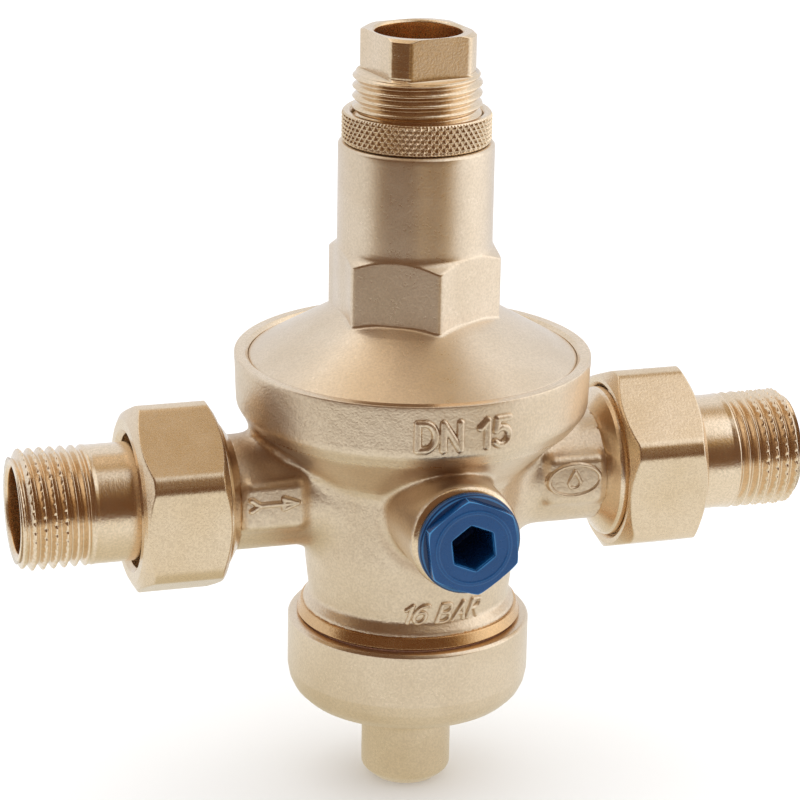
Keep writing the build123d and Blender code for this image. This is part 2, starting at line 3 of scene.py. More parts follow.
import bpy
import numpy as np
from mathutils import Matrix, Vector


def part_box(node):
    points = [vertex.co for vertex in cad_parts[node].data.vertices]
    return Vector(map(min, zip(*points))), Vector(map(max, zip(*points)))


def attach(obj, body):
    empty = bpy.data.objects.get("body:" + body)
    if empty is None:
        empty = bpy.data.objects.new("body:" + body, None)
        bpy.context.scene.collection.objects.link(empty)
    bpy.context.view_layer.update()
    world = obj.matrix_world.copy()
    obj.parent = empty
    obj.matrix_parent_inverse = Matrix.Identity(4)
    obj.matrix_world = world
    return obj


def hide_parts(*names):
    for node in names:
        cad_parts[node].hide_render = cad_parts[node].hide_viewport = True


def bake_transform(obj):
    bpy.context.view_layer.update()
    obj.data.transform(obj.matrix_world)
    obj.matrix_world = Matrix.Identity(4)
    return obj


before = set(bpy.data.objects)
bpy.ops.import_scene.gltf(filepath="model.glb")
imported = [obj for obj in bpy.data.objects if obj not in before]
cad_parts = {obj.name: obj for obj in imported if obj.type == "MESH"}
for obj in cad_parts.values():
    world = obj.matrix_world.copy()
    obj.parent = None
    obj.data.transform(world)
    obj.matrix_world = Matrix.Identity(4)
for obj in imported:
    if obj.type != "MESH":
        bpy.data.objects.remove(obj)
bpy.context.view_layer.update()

# Sizes. The script works in millimetres from the point where the valve's own
# upright axis meets the pipe axis, and place() turns that into the row frame.

MM = 0.001


def edge(node, axis, end):
    """One side of a CAD node's box, in millimetres: axis 0, 1, 2 and end 0 low, 1 high."""
    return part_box(node)[end][axis] / MM


AXIS_X = (edge("bottom_cap", 0, 0) + edge("bottom_cap", 0, 1)) / 2
HALF_LENGTH = edge("outlet_tailpiece", 0, 1) - AXIS_X
BORE_R = 7.45

PORT_R = 10.0
PORT_NECK_END = 32.6
PORT_SHOULDER_END = 35.0
PORT_END = edge("valve_body", 0, 1) - AXIS_X
UNION_THREAD_R = 13.22
UNION_PITCH = 1.814
COLLAR_R = edge("outlet_tailpiece", 2, 1)
COLLAR_START = edge("outlet_tailpiece", 0, 0) - AXIS_X
COLLAR_END = COLLAR_START + 3.5
NECK_R = 10.2
PIPE_THREAD_R = 10.478
PIPE_THREAD_START = 58.2
PIPE_PITCH = 1.814
PIPE_THREAD_DEPTH = 1.16
NUT_START = edge("outlet_union_nut", 0, 0) - AXIS_X
NUT_END = edge("outlet_union_nut", 0, 1) - AXIS_X
NUT_FLAT = 15.3
NUT_CORNER_R = 17.0
NUT_HOLE_R = 11.5
NUT_CORNER_TURN = {-1: 26.9, 1: 157.0}

RIM_R = 30.8
RIM_TOP = edge("valve_body", 2, 1)
RIM_BORE_R = 28.45
LEDGE_Z = 14.0
SPIGOT_R = 17.9
SPIGOT_BORE_R = 14.5
LIP_R = 19.75
LIP_Z = -24.8
SPIGOT_Z = edge("valve_body", 2, 0)
PAD_X = 27.1
PAD_Z = 0.7
PAD_FACE = 10.9
PAD_ROOT = 6.0
PAD_SIZE = (10.4, 8.6)

GAUGE_Z = 0.4
GAUGE_BOSS_R = 9.4
GAUGE_FACE = -edge("valve_body", 1, 0)
GAUGE_THREAD_R = 6.578
PLUG_START = 23.5
PLUG_SEAT = -edge("port_seal", 1, 0)
PLUG_FLANGE_R = edge("port_plug", 2, 1) - GAUGE_Z
PLUG_FLANGE_END = PLUG_SEAT + 1.5
PLUG_FACE = -edge("port_plug", 1, 0)
PLUG_HEX_R = 8.65
PLUG_TURN = 37.0
PLUG_SOCKET_R = 4.0
PLUG_RING_R = (6.05, 6.5)
PLUG_RING_RISE = 0.12
GAUGE_PITCH = 1.337

BONNET_R = 28.4
BONNET_BASE = edge("bonnet", 2, 0)
CONE_EDGE_Z = 22.9
CONE_SLOPE = 0.5625
TUBE_R = 13.3
TUBE_TOP = edge("bonnet", 2, 1)
HEX_FLAT = 13.25
HEX_TOP = 42.6
HEX_CORNER_R = 15.12
HEX_FOOT_Z = CONE_EDGE_Z + (BONNET_R - TUBE_R) * CONE_SLOPE
TUBE_BORE_R = 11.05
BONNET_BORE_R = 23.5

SCREW_R = 11.0
SCREW_PITCH = 1.75
SCREW_THREAD_DEPTH = 0.88
SCREW_BOTTOM = edge("adjusting_screw", 2, 0)
SCREW_TOP = edge("adjusting_screw", 2, 1)
HEAD_BASE = 72.6
HEAD_R = 9.9
HEAD_FLAT = 8.15
HEAD_TURN = -34.4
SOCKET_R = 7.4
SOCKET_FLOOR = 56.0
RING_R = edge("lock_ring", 0, 1) - AXIS_X
RING_Z = (edge("lock_ring", 2, 0), edge("lock_ring", 2, 1))

CAP_R = edge("bottom_cap", 0, 1) - AXIS_X
CAP_TOP = edge("cap_gasket", 2, 0) + 0.8
CAP_BOTTOM = edge("bottom_cap", 2, 0)
CAP_BOSS_R = 7.93
CAP_RIM_BORE_R = 19.3
CAP_THREAD_END = -35.6
CAP_CHAMBER = (-38.6, 13.5)
CAP_GUIDE = (-52.5, 4.05)

SPRING_R = 8.5
SPRING_WIRE_R = 1.3
SPRING_TURNS = 8
SPRING_Z = [edge("adjusting_spring", 2, end) + (1 - 2 * end) * SPRING_WIRE_R for end in (0, 1)]


def place(points):
    """Millimetres from the valve's centre to metres in the row frame."""
    return (np.asarray(points, float) + (AXIS_X, 0, 0)) * MM


def direction(azimuth, elevation):
    """The unit vector that points that way; azimuth 0 is towards -Y, and 90 towards +X."""
    a, e = math.radians(azimuth), math.radians(elevation)
    return (math.sin(a) * math.cos(e), -math.cos(a) * math.cos(e), math.sin(e))


# Camera

CAMERA_AIM = Vector((68.25, 0.59, 14.1)) * MM
CAMERA_AZIMUTH = -16.72
CAMERA_ELEVATION = 18.72
CAMERA_DISTANCE = 0.5488
CAMERA_ROLL = math.radians(0.99)
CAMERA_LENS = 142.2
SENSOR = 36.0


def make_camera():
    """A long lens from the front and a little above, turned towards the inlet side."""
    data = bpy.data.cameras.new("camera")
    data.lens = CAMERA_LENS
    data.sensor_width = SENSOR
    camera = bpy.data.objects.new("camera", data)
    bpy.context.scene.collection.objects.link(camera)
    back = Vector(direction(CAMERA_AZIMUTH, CAMERA_ELEVATION))
    turn = (-back).to_track_quat("-Z", "Y").to_matrix() @ Matrix.Rotation(CAMERA_ROLL, 3, "Z")
    camera.matrix_world = Matrix.Translation(CAMERA_AIM + back * CAMERA_DISTANCE) @ turn.to_4x4()
    bpy.context.scene.camera = camera


make_camera()

# Materials


class Nodes:
    """A small helper that adds nodes to one node tree and links them."""

    def __init__(self, tree):
        self.tree = tree

    def add(self, kind, inputs=None, **settings):
        node = self.tree.nodes.new("ShaderNode" + kind)
        for key, value in settings.items():
            setattr(node, key, value)
        for key, value in (inputs or {}).items():
            if isinstance(value, bpy.types.NodeSocket):
                self.tree.links.new(value, node.inputs[key])
            else:
                node.inputs[key].default_value = value
        return node

    def remap(self, value, low, high, to_low, to_high):
        inputs = {"Value": value, "From Min": low, "From Max": high, "To Min": to_low, "To Max": to_high}
        return self.add("MapRange", inputs).outputs["Result"]

    def mix(self, factor, one, other, blend="MIX"):
        node = self.add("Mix", data_type="RGBA", blend_type=blend)
        for index, value in ((0, factor), (6, one), (7, other)):
            if isinstance(value, bpy.types.NodeSocket):
                self.tree.links.new(value, node.inputs[index])
            else:
                node.inputs[index].default_value = value
        return node.outputs[2]

    def math(self, operation, *values):
        return self.add("Math", dict(enumerate(values)), operation=operation).outputs[0]


class Surface(Nodes):
    """A new material, with its shader and the place on the object."""

    def __init__(self, name):
        self.material = bpy.data.materials.new(name)
        self.material.use_nodes = True
        super().__init__(self.material.node_tree)
        self.shader = self.tree.nodes["Principled BSDF"]
        self.where = self.add("TexCoord").outputs["Object"]

    def link(self, output, socket):
        self.tree.links.new(output, self.shader.inputs[socket])

    def noise(self, scale, detail=2.0, roughness=0.5, vector=None):
        inputs = {"Vector": vector or self.where, "Scale": scale, "Detail": detail, "Roughness": roughness}
        return self.add("TexNoise", inputs).outputs["Fac"]

    def note(self, name):
        """A value that the mesh carries at each of its points."""
        return self.add("Attribute", attribute_name=name).outputs["Fac"]

    def bump(self, height, strength, distance, below=None):
        inputs = {"Height": height, "Strength": strength, "Distance": distance}
        if below is not None:
            inputs["Normal"] = below
        return self.add("Bump", inputs).outputs["Normal"]

    def rings(self, axis, centre, scale):
        """Noise that varies only along an axis and away from it, as a lathe leaves it."""
        from_axis = self.add("VectorMath", {0: self.where, 1: centre}, operation="SUBTRACT").outputs[0]
        along = self.add("VectorMath", {0: from_axis, 1: axis}, operation="DOT_PRODUCT").outputs["Value"]
        across = self.add("VectorMath", {0: from_axis, 1: axis}, operation="CROSS_PRODUCT").outputs[0]
        radius = self.add("VectorMath", {0: across}, operation="LENGTH").outputs["Value"]
        flat = self.add("CombineXYZ", {"X": along, "Y": radius, "Z": 0.0}).outputs[0]
        return self.noise(scale, 3.0, 0.6, flat)


def rgb(red, green, blue):
    return (red, green, blue, 1.0)


def scaled(tone, factor):
    """A tone times a factor, as a colour."""
    return rgb(*[factor * c for c in tone])


def brass(name, tones, roughness, grain, grain_depth, turned=None, hollow_shade=0.3):
    """Brass: two close tones, uneven sheen, a fine skin, brighter edges, painted shade in its hollows and
    where it is closed in from the light.
    """
    light, deep = tones
    n = Surface(name)
    clouds = n.noise(90.0, 3.0)
    speckle = n.noise(grain, 2.0, 0.6)
    tone = n.mix(n.remap(clouds, 0.35, 0.65, 0.0, 1.0), rgb(*light), rgb(*deep))
    grained = n.mix(n.remap(speckle, 0.38, 0.62, 0.0, 0.22), tone, scaled(deep, 0.5))
    sharp = n.note("sharpness")
    # Lighter towards the sharp edges.
    edge_lightened = n.mix(n.remap(sharp, 0.06, 0.35, 0.0, 0.5), grained, scaled(light, 1.12))
    # Painted shade: darker towards the deep tone in hollows, where shade falls.
    hollow = n.remap(sharp, -0.08, -0.35, 0.0, hollow_shade)
    darker = n.mix(hollow, edge_lightened, scaled(deep, 0.55))
    # Painted shade: darker where the point is closed in towards the lit side.
    n.link(n.mix(n.note("shelter"), darker, scaled([c**3 for c in deep], 0.8)), "Base Color")
    n.shader.inputs["Metallic"].default_value = 1.0
    sheen = n.remap(n.noise(400.0), 0.3, 0.7, roughness - 0.015, roughness + 0.02)
    n.link(n.math("ADD", sheen, n.remap(speckle, 0.3, 0.7, -0.04, 0.04)), "Roughness")
    skin = n.bump(speckle, 1.0, grain_depth)
    if turned is not None:
        skin = n.bump(n.rings(*turned, 2600.0), 1.0, 0.000012, skin)
    n.link(skin, "Normal")
    return n.material


def steel(name, tone, roughness, turned):
    """Turned or drawn steel with fine circular lines."""
    n = Surface(name)
    clouds = n.noise(150.0, 3.0)
    n.link(n.mix(n.remap(clouds, 0.3, 0.7, 0.0, 1.0), rgb(*tone), scaled(tone, 0.82)), "Base Color")
    n.shader.inputs["Metallic"].default_value = 1.0
    n.link(n.remap(n.noise(900.0), 0.3, 0.7, roughness - 0.05, roughness + 0.08), "Roughness")
    n.link(n.bump(n.rings(*turned, 3000.0), 1.0, 0.000008), "Normal")
    return n.material


def rubber(name):
    """Matte moulded rubber with a dusty bloom."""
    n = Surface(name)
    bloom = n.remap(n.noise(260.0, 4.0), 0.45, 0.75, 0.0, 1.0)
    n.link(n.mix(bloom, rgb(0.012, 0.012, 0.013), rgb(0.035, 0.034, 0.033)), "Base Color")
    n.link(n.remap(bloom, 0.0, 1.0, 0.55, 0.75), "Roughness")
    n.link(n.bump(n.noise(3500.0, 2.0), 0.5, 0.00002), "Normal")
    return n.material


def fibre(name):
    """Pressed vulcanised fibre with short flecks."""
    n = Surface(name)
    flecks = n.add("TexVoronoi", {"Vector": n.where, "Scale": 1600.0}).outputs["Distance"]
    n.link(n.mix(flecks, rgb(0.30, 0.12, 0.07), rgb(0.44, 0.24, 0.15)), "Base Color")
    n.link(n.remap(n.noise(700.0), 0.3, 0.7, 0.6, 0.8), "Roughness")
    n.link(n.bump(flecks, 0.4, 0.00003), "Normal")
    return n.material


def plastic(name):
    """Blue moulded plastic: faint flow marks, spark texture, painted highlights on its edges, painted shade
    in its hollows and behind its face.
    """
    n = Surface(name)
    flow = n.noise(120.0, 3.0)
    tone = n.mix(n.remap(flow, 0.3, 0.7, 0.0, 1.0), rgb(0.004, 0.052, 0.165), rgb(0.002, 0.040, 0.130))
    sharp = n.note("sharpness")
    # Painted highlight: paler blue along the sharp edges.
    edge_highlighted = n.mix(n.remap(sharp, 0.02, 0.08, 0.0, 0.8), tone, rgb(0.06, 0.25, 0.50))
    # Painted shade: darker behind the face, and in hollows, where shade falls.
    depth = n.add("SeparateXYZ", {0: n.where}).outputs["Y"]
    behind = n.remap(depth, -(PLUG_FACE - 0.5) * MM, -(PLUG_FLANGE_END + 0.2) * MM, 0.0, 0.9)
    shaded = n.math("MAXIMUM", n.remap(sharp, -0.02, -0.10, 0.0, 0.8), behind)
    # The painted shade's tone, with paler painted highlights along the sharp edges.
    shade_with_edge_highlight = n.mix(n.remap(sharp, 0.02, 0.08, 0.0, 0.6), rgb(0.001, 0.014, 0.055), rgb(0.03, 0.16, 0.36))
    n.link(n.mix(shaded, edge_highlighted, shade_with_edge_highlight), "Base Color")
    n.shader.inputs["IOR"].default_value = 1.45
    n.link(n.remap(n.noise(600.0), 0.3, 0.7, 0.22, 0.32), "Roughness")
    fine = n.bump(n.noise(5200.0, 2.0), 0.5, 0.000012)
    n.link(n.bump(n.noise(420.0, 2.0), 0.6, 0.00005, fine), "Normal")
    return n.material


CENTRE = (AXIS_X * MM, 0.0, 0.0)
UPRIGHT = ((0.0, 0.0, 1.0), CENTRE)
PIPE = ((1.0, 0.0, 0.0), CENTRE)
CAST = ((0.82, 0.66, 0.48), (0.76, 0.60, 0.42))
TURNED = ((0.84, 0.66, 0.46), (0.79, 0.60, 0.39))
PALE = ((0.89, 0.71, 0.51), (0.84, 0.65, 0.44))
COPPERY = ((0.74, 0.48, 0.25), (0.68, 0.42, 0.20))
ORANGE = ((0.84, 0.52, 0.24), (0.76, 0.43, 0.17))

cast_brass = brass("cast_brass", CAST, 0.36, 2400.0, 0.00006, hollow_shade=0.15)
blasted_brass = brass("blasted_brass", CAST, 0.31, 2600.0, 0.000018)
turned_upright = brass("turned_upright", TURNED, 0.22, 2600.0, 0.00002, UPRIGHT)
turned_pipe = brass("turned_pipe", PALE, 0.22, 2600.0, 0.00002, PIPE)
nut_brass = brass("nut_brass", TURNED, 0.27, 2600.0, 0.00002, PIPE)
lip_brass = brass("lip_brass", COPPERY, 0.25, 2600.0, 0.00002, UPRIGHT)
# Bores: a warmer orange tone, a painted reflection of the light bounced round inside them.
bore_reflection_brass = brass("bore_reflection_brass", ORANGE, 0.27, 2600.0, 0.00001)
stainless = steel("stainless", (0.60, 0.60, 0.59), 0.28, UPRIGHT)
spring_steel = steel("spring_steel", (0.40, 0.41, 0.42), 0.35, UPRIGHT)
black_rubber = rubber("black_rubber")
fibre_sheet = fibre("fibre_sheet")
blue_plastic = plastic("blue_plastic")

# Mesh building


def piece(name, skin, material, body, nodes=(), normals=None):
    """One smooth mesh from a skin, its millimetre points and faces, for the CAD nodes it replaces.

    It rides on a body, unless that is None.
    """
    points, faces = skin
    if volume(points, faces) < 0:
        faces = [list(reversed(face)) for face in faces]
    mesh = bpy.data.meshes.new(name)
    mesh.from_pydata(place(points).tolist(), [], [list(face) for face in faces])
    mesh.shade_smooth()
    if normals is not None:
        mesh.normals_split_custom_set_from_vertices(normals.tolist())
    mark_edges(mesh)
    made = bpy.data.objects.new(name, mesh)
    bpy.context.scene.collection.objects.link(made)
    mesh.materials.append(material)
    if body is not None:
        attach(made, body)
    if nodes:
        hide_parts(*nodes)
    return made


def points_and_normals(mesh):
    spots, normals = np.empty(3 * len(mesh.vertices)), np.empty(3 * len(mesh.vertices))
    mesh.vertices.foreach_get("co", spots)
    mesh.vertex_normals.foreach_get("vector", normals)
    return spots.reshape(-1, 3), normals.reshape(-1, 3)


def set_note(mesh, name, values):
    """Let the mesh carry a value at each of its points, for its materials."""
    mesh.attributes.new(name, "FLOAT", "POINT").data.foreach_set("value", values.astype(np.float32))


def mark_edges(mesh):
    """Note at every point how far it stands out of its neighbours: edges above 0, hollows below."""
    spots, normals = points_and_normals(mesh)
    ends = np.empty(2 * len(mesh.edges), np.int32)
    mesh.edges.foreach_get("vertices", ends)
    ends = ends.reshape(-1, 2)
    along = spots[ends[:, 0]] - spots[ends[:, 1]]
    along /= np.maximum(np.linalg.norm(along, axis=1, keepdims=True), 1e-9)
    total, shares = np.zeros(len(spots)), np.zeros(len(spots))
    for side, sign in ((0, 1), (1, -1)):
        np.add.at(total, ends[:, side], sign * (along * normals[ends[:, side]]).sum(axis=1))
        np.add.at(shares, ends[:, side], 1)
    set_note(mesh, "sharpness", total / np.maximum(shares, 1))


# Painted shade: how dark the casting gets where it is closed in from the light, how far it looks, and the
# side the light comes from.
SHELTER_SHADE = 0.36
SHELTER_REACH = 6.0
LIT_SIDE = (0.45, 0.0, 0.15)


def mark_shelter(mesh, distance):
    """Note how closed in each point is towards the lit side, as a painted shade from 0 to the darkest tone's
    share.
    """
    spots, normals = points_and_normals(mesh)
    spots = spots / MM - (AXIS_X, 0, 0)
    towards = normals + LIT_SIDE
    towards /= np.linalg.norm(towards, axis=1, keepdims=True)
    reaches = (SHELTER_REACH / 2, SHELTER_REACH)
    near, far = [distance(*(spots + reach * towards).T) / reach for reach in reaches]
    set_note(mesh, "shelter", SHELTER_SHADE * (1 - smooth_step(np.minimum(near, far), 0.0, 0.5)))


def refinish(made, material, chosen):
    """Give a second material to the faces of a piece whose centres are chosen(x, y, z)."""
    centres = np.empty(3 * len(made.data.polygons))
    made.data.polygons.foreach_get("center", centres)
    spots = centres.reshape(-1, 3) / MM - (AXIS_X, 0, 0)
    made.data.materials.append(material)
    made.data.polygons.foreach_set("material_index", chosen(*spots.T).astype(np.int32))


def volume(points, faces):
    """Six times the signed volume inside the four-sided faces, whose sign tells if they face out."""
    quads = np.array([face for face in faces if len(face) == 4])
    total = 0.0
    for one, two, three in ((0, 1, 2), (0, 2, 3)):
        a, b, c = points[quads[:, one]], points[quads[:, two]], points[quads[:, three]]
        total += float(np.einsum("ij,ij->i", a, np.cross(b, c)).sum())
    return total


def rounded(corners, radius, step, closed):
    """A polyline through (s, r) corners with rounded corners and even steps.

    A corner's third number is the step of the stretch that starts there, and its fourth
    the radius at that corner.
    """
    count = len(corners)
    spots = np.array([corner[:2] for corner in corners], float)
    steps = [corner[2] if len(corner) > 2 and corner[2] else step for corner in corners]
    radii = [corner[3] if len(corner) > 3 else radius for corner in corners]
    before = spots - np.roll(spots, 1, axis=0)
    after = np.roll(spots, -1, axis=0) - spots
    arcs = []
    for i in range(count):
        long_before, long_after = np.linalg.norm(before[i]), np.linalg.norm(after[i])
        if not closed and i in (0, count - 1):
            arcs.append([spots[i]])
            continue
        into, out = before[i] / long_before, after[i] / long_after
        turn = math.acos(max(-1.0, min(1.0, float(into @ out))))
        if turn < math.radians(1.0):
            arcs.append([spots[i]])
            continue
        cut = min(radii[i] * math.tan(turn / 2), 0.45 * long_before, 0.45 * long_after)
        start, end = spots[i] - into * cut, spots[i] + out * cut
        parts = max(2, int(math.degrees(turn) / 18) + 1)
        t = np.linspace(0, 1, parts + 1)[:, None]
        arcs.append(list((1 - t) ** 2 * start + 2 * t * (1 - t) * spots[i] + t**2 * end))
    path = []
    for i in range(count):
        path += arcs[i]
        if i == count - 1 and not closed:
            break
        start, end = arcs[i][-1], arcs[(i + 1) % count][0]
        parts = max(1, int(np.linalg.norm(end - start) / steps[i]))
        for t in np.linspace(0, 1, parts + 1)[1:-1]:
            path.append(start * (1 - t) + end * t)
    return np.array(path)


def upright(s, r, angle):
    """Around the valve's upright axis, s upwards."""
    return np.stack([r * np.cos(angle), r * np.sin(angle), s], -1)


def along_port(side):
    """Around the pipe axis, s outwards along one port."""

    def spot(s, r, angle):
        return np.stack([side * s, side * r * np.cos(angle), r * np.sin(angle)], -1)

    return spot


def along_gauge(s, r, angle):
    """Around the gauge port's axis, s outwards."""
    return np.stack([r * np.cos(angle), -s, GAUGE_Z + r * np.sin(angle)], -1)


def tube_faces(index, closed):
    """Faces over rings of point numbers: the last ring joins the first, or both ends are capped."""
    lower = index if closed else index[:-1]
    upper = np.roll(index, -1, axis=0)[: len(lower)]
    quads = np.stack([lower, np.roll(lower, -1, 1), np.roll(upper, -1, 1), upper], -1)
    caps = [] if closed else [index[0][::-1].tolist(), index[-1].tolist()]
    return quads.reshape(-1, 4).tolist() + caps


def lathe(corners, where, shape=None, columns=256, radius=0.25, step=0.6, closed=True):
    """Points and faces of a revolved outline. shape(s, r, angle) may change the radius."""
    path = rounded(corners, radius, step, closed)
    angle = np.linspace(0, 2 * math.pi, columns, endpoint=False)[None, :]
    s = np.repeat(path[:, :1], columns, axis=1)
    r = np.repeat(path[:, 1:], columns, axis=1)
    angle = np.repeat(angle, len(path), axis=0)
    if shape is not None:
        r = shape(s, r, angle)
    points = where(s, r, angle).reshape(-1, 3)
    return points, tube_faces(np.arange(len(points)).reshape(len(path), columns), closed)


def soft_min(one, other, blend):
    """The smaller of two fields, rounded over where they meet."""
    near = np.maximum(blend - np.abs(one - other), 0) / blend
    return np.minimum(one, other) - near * near * blend / 4


def soft_max(one, other, blend):
    return -soft_min(-one, -other, blend)


def smooth_step(value, low, high):
    t = np.clip((value - low) / (high - low), 0, 1)
    return t * t * (3 - 2 * t)


def flats(angle, distance, count, corner_degrees):
    """How far out a ray at this angle meets the nearest of some equal flats."""
    sector = 2 * math.pi / count
    off = np.mod(angle - math.radians(corner_degrees), sector) - sector / 2
    return distance / np.cos(off)


def thread_cut(s, angle, pitch, depth, start, end, fade=0.6):
    """Depth of a right-hand thread's groove, fading out at both ends of the thread."""
    phase = np.mod(s / pitch - angle / (2 * math.pi), 1.0)
    rise = np.abs(2 * phase - 1)
    wave = 0.55 * rise + 0.45 * (0.5 - 0.5 * np.cos(math.pi * rise))
    begun = smooth_step(s, start - fade / 2, start + fade)
    over = smooth_step(s, end - fade / 3, end + fade / 3)
    return depth * wave * (begun * (1 - over))


# Body casting: a distance field, so that its parts run into each other with
# the soft fillets of a casting, turned into a mesh

LIP_RING_TOP = -22.7
RIM_RING_FOOT = 22.1
BOWL_OUTLINE = [
    (0, LIP_RING_TOP - 0.3), (18.75, LIP_RING_TOP - 0.3, 0, 0.1), (18.6, -22.1, 0, 0.2),
    (17.6, -20.5, 0, 1.2), (17.9, -18.2, 0, 2.0), (18.8, -10.0, 0, 4.0), (19.3, 3.2, 0, 5.0),
    (24.5, 8.2, 0, 6.0), (28.6, 11.7, 0, 4.0), (30.5, 14.3, 0, 2.5),
    (RIM_R, RIM_RING_FOOT + 0.6, 0, 0.1), (0, RIM_RING_FOOT + 0.6),
]
CAVITY_OUTLINE = [
    (-2, RIM_TOP + 2), (RIM_BORE_R, RIM_TOP + 2), (RIM_BORE_R, LEDGE_Z), (24.5, LEDGE_Z), (24.5, 12.6),
    (16.5, 8.5), (3.05, 8.5), (3.05, 6.5), (8.0, 6.5), (8.0, -9.0), (SPIGOT_BORE_R, -9.0),
    (SPIGOT_BORE_R, SPIGOT_Z - 2), (-2, SPIGOT_Z - 2),
]
OUTLET_NECK_R = 6.3
PORT_BORE_STARTS = (12.5, 24)
GAUGE_PASSAGE_R = 2.0
PORT_BLEND = 3.6
BOSS_BLEND = 1.5
BOSS_ROUNDING = 1.8
PAD_BLEND = 2.2
PAD_ROUNDING = 1.3
BEAD_R = 0.95
BEAD_BLEND = 0.6
RIPPLE = 0.012
TURNED_SPOT_DEPTH = 0.9
NET_STEP, QUICK_NET_STEP = 0.5, 0.9
TABLE_STEP = 0.2
TABLE_R = np.arange(0, 50, TABLE_STEP)
TABLE_Z = np.arange(-46, 36, TABLE_STEP)


def stretch_distance(x, y, start, end):
    """Distance to a straight stretch between two points."""
    (x0, y0), (x1, y1) = start, end
    ex, ey = x1 - x0, y1 - y0
    share = np.clip(((x - x0) * ex + (y - y0) * ey) / (ex * ex + ey * ey + 1e-12), 0, 1)
    return np.hypot(x - x0 - share * ex, y - y0 - share * ey)


def polygon_distance(x, y, corners):
    """Signed distance to a closed polygon, negative inside."""
    nearest = np.full(x.shape, np.inf)
    inside = np.zeros(x.shape, bool)
    for (x0, y0), (x1, y1) in zip(corners, np.roll(corners, -1, axis=0)):
        nearest = np.minimum(nearest, stretch_distance(x, y, (x0, y0), (x1, y1)))
        if y0 != y1:
            inside ^= ((y0 > y) != (y1 > y)) & (x < x0 + (y - y0) / (y1 - y0) * (x1 - x0))
    return np.where(inside, -nearest, nearest)


def revolved_field(outline):
    """A table of distances to a revolved outline, over radius and height."""
    corners = rounded(outline, 0.15, 50.0, True)
    r, z = np.meshgrid(TABLE_R, TABLE_Z, indexing="ij")
    return polygon_distance(r, z, corners)


def look_up(table, r, z):
    """Bilinear reading of a table of distances."""
    a = np.clip(r / TABLE_STEP, 0, len(TABLE_R) - 1.001)
    b = np.clip((z - TABLE_Z[0]) / TABLE_STEP, 0, len(TABLE_Z) - 1.001)
    i, j = a.astype(np.int32), b.astype(np.int32)
    fa, fb = a - i, b - j
    low = table[i, j] * (1 - fb) + table[i, j + 1] * fb
    high = table[i + 1, j] * (1 - fb) + table[i + 1, j + 1] * fb
    return low * (1 - fa) + high * fa


BOWL_FIELD = revolved_field(BOWL_OUTLINE)
CAVITY_FIELD = revolved_field(CAVITY_OUTLINE)


def block(x, z, y, half_x, half_z, low_y, high_y, rounding):
    """Distance to a block with rounded edges."""
    middle, half_y = (low_y + high_y) / 2, (high_y - low_y) / 2
    dx = np.abs(x) - half_x + rounding
    dz = np.abs(z) - half_z + rounding
    dy = np.abs(y - middle) - half_y + rounding
    outside = np.sqrt(np.maximum(dx, 0) ** 2 + np.maximum(dy, 0) ** 2 + np.maximum(dz, 0) ** 2)
    return outside + np.minimum(np.maximum(dx, np.maximum(dy, dz)), 0) - rounding


def casting(x, y, z):
    """Distance to the outside of the casting."""
    radial = np.hypot(x, y)
    bowl = look_up(BOWL_FIELD, radial, z)
    pipe = np.hypot(y, z)
    ports = pipe - PORT_R
    boss_r = np.hypot(x, z - GAUGE_Z)
    boss = soft_max(boss_r - GAUGE_BOSS_R, -y - GAUGE_FACE, BOSS_ROUNDING)
    boss = np.maximum(boss, y)
    shape = soft_min(bowl, ports, PORT_BLEND)
    shape = soft_min(shape, boss, BOSS_BLEND)
    half_x, half_z = PAD_SIZE[0] / 2, PAD_SIZE[1] / 2
    pads = block(np.abs(x) - PAD_X, z - PAD_Z, -y, half_x, half_z, PAD_ROOT, PAD_FACE, PAD_ROUNDING)
    shape = soft_min(shape, pads, PAD_BLEND)
    bead = np.hypot(bowl, ports) - BEAD_R - 0.25 * np.sin(2.9 * z) * np.sin(1.7 * y)
    bead += 4 * (smooth_step(x, -16.5, -14.5) + smooth_step(y, -0.5, 2.0) + smooth_step(-z, -1.5, 1.5))
    shape = soft_min(shape, bead, BEAD_BLEND)
    ripple = RIPPLE * np.sin(1.1 * x + 0.7 * z + 0.4) * np.sin(0.9 * y - 1.3 * z)
    rough = 1 - smooth_step(-z, 21.6, 22.4)
    shape = shape + ripple * rough
    ends = np.abs(x) - PORT_NECK_END - 0.2
    return np.where(radial > 25, np.maximum(shape, ends), shape)


def hollow(x, y, z):
    """Distance to the waterways and bores inside the casting."""
    radial = np.hypot(x, y)
    pipe = np.hypot(y, z)
    space = look_up(CAVITY_FIELD, radial, z)
    inlet = np.maximum(pipe - BORE_R, x + PORT_BORE_STARTS[0])
    drop = np.maximum(np.maximum(np.abs(x + 13.6) - 3.2, np.abs(y) - 4.8), np.maximum(z, -z - 12))
    outlet = np.maximum(pipe - OUTLET_NECK_R, -x)
    outlet = np.minimum(outlet, np.maximum(pipe - BORE_R, PORT_BORE_STARTS[1] - x))
    boss_r = np.hypot(x, z - GAUGE_Z)
    thread = np.maximum(boss_r - GAUGE_THREAD_R - 0.05, y + 22.0)
    passage = np.maximum(boss_r - GAUGE_PASSAGE_R, np.maximum(y + 5.0, -y - 25.0))
    for cavity in (inlet, drop, outlet, thread, passage):
        space = np.minimum(space, cavity)
    return space


def body_field(points):
    x, y, z = points[..., 0], points[..., 1], points[..., 2]
    return soft_max(casting(x, y, z), -hollow(x, y, z), 0.25)


EDGES = [(a, b) for a in range(8) for b in range(a + 1, 8) if bin(a ^ b).count("1") == 1]


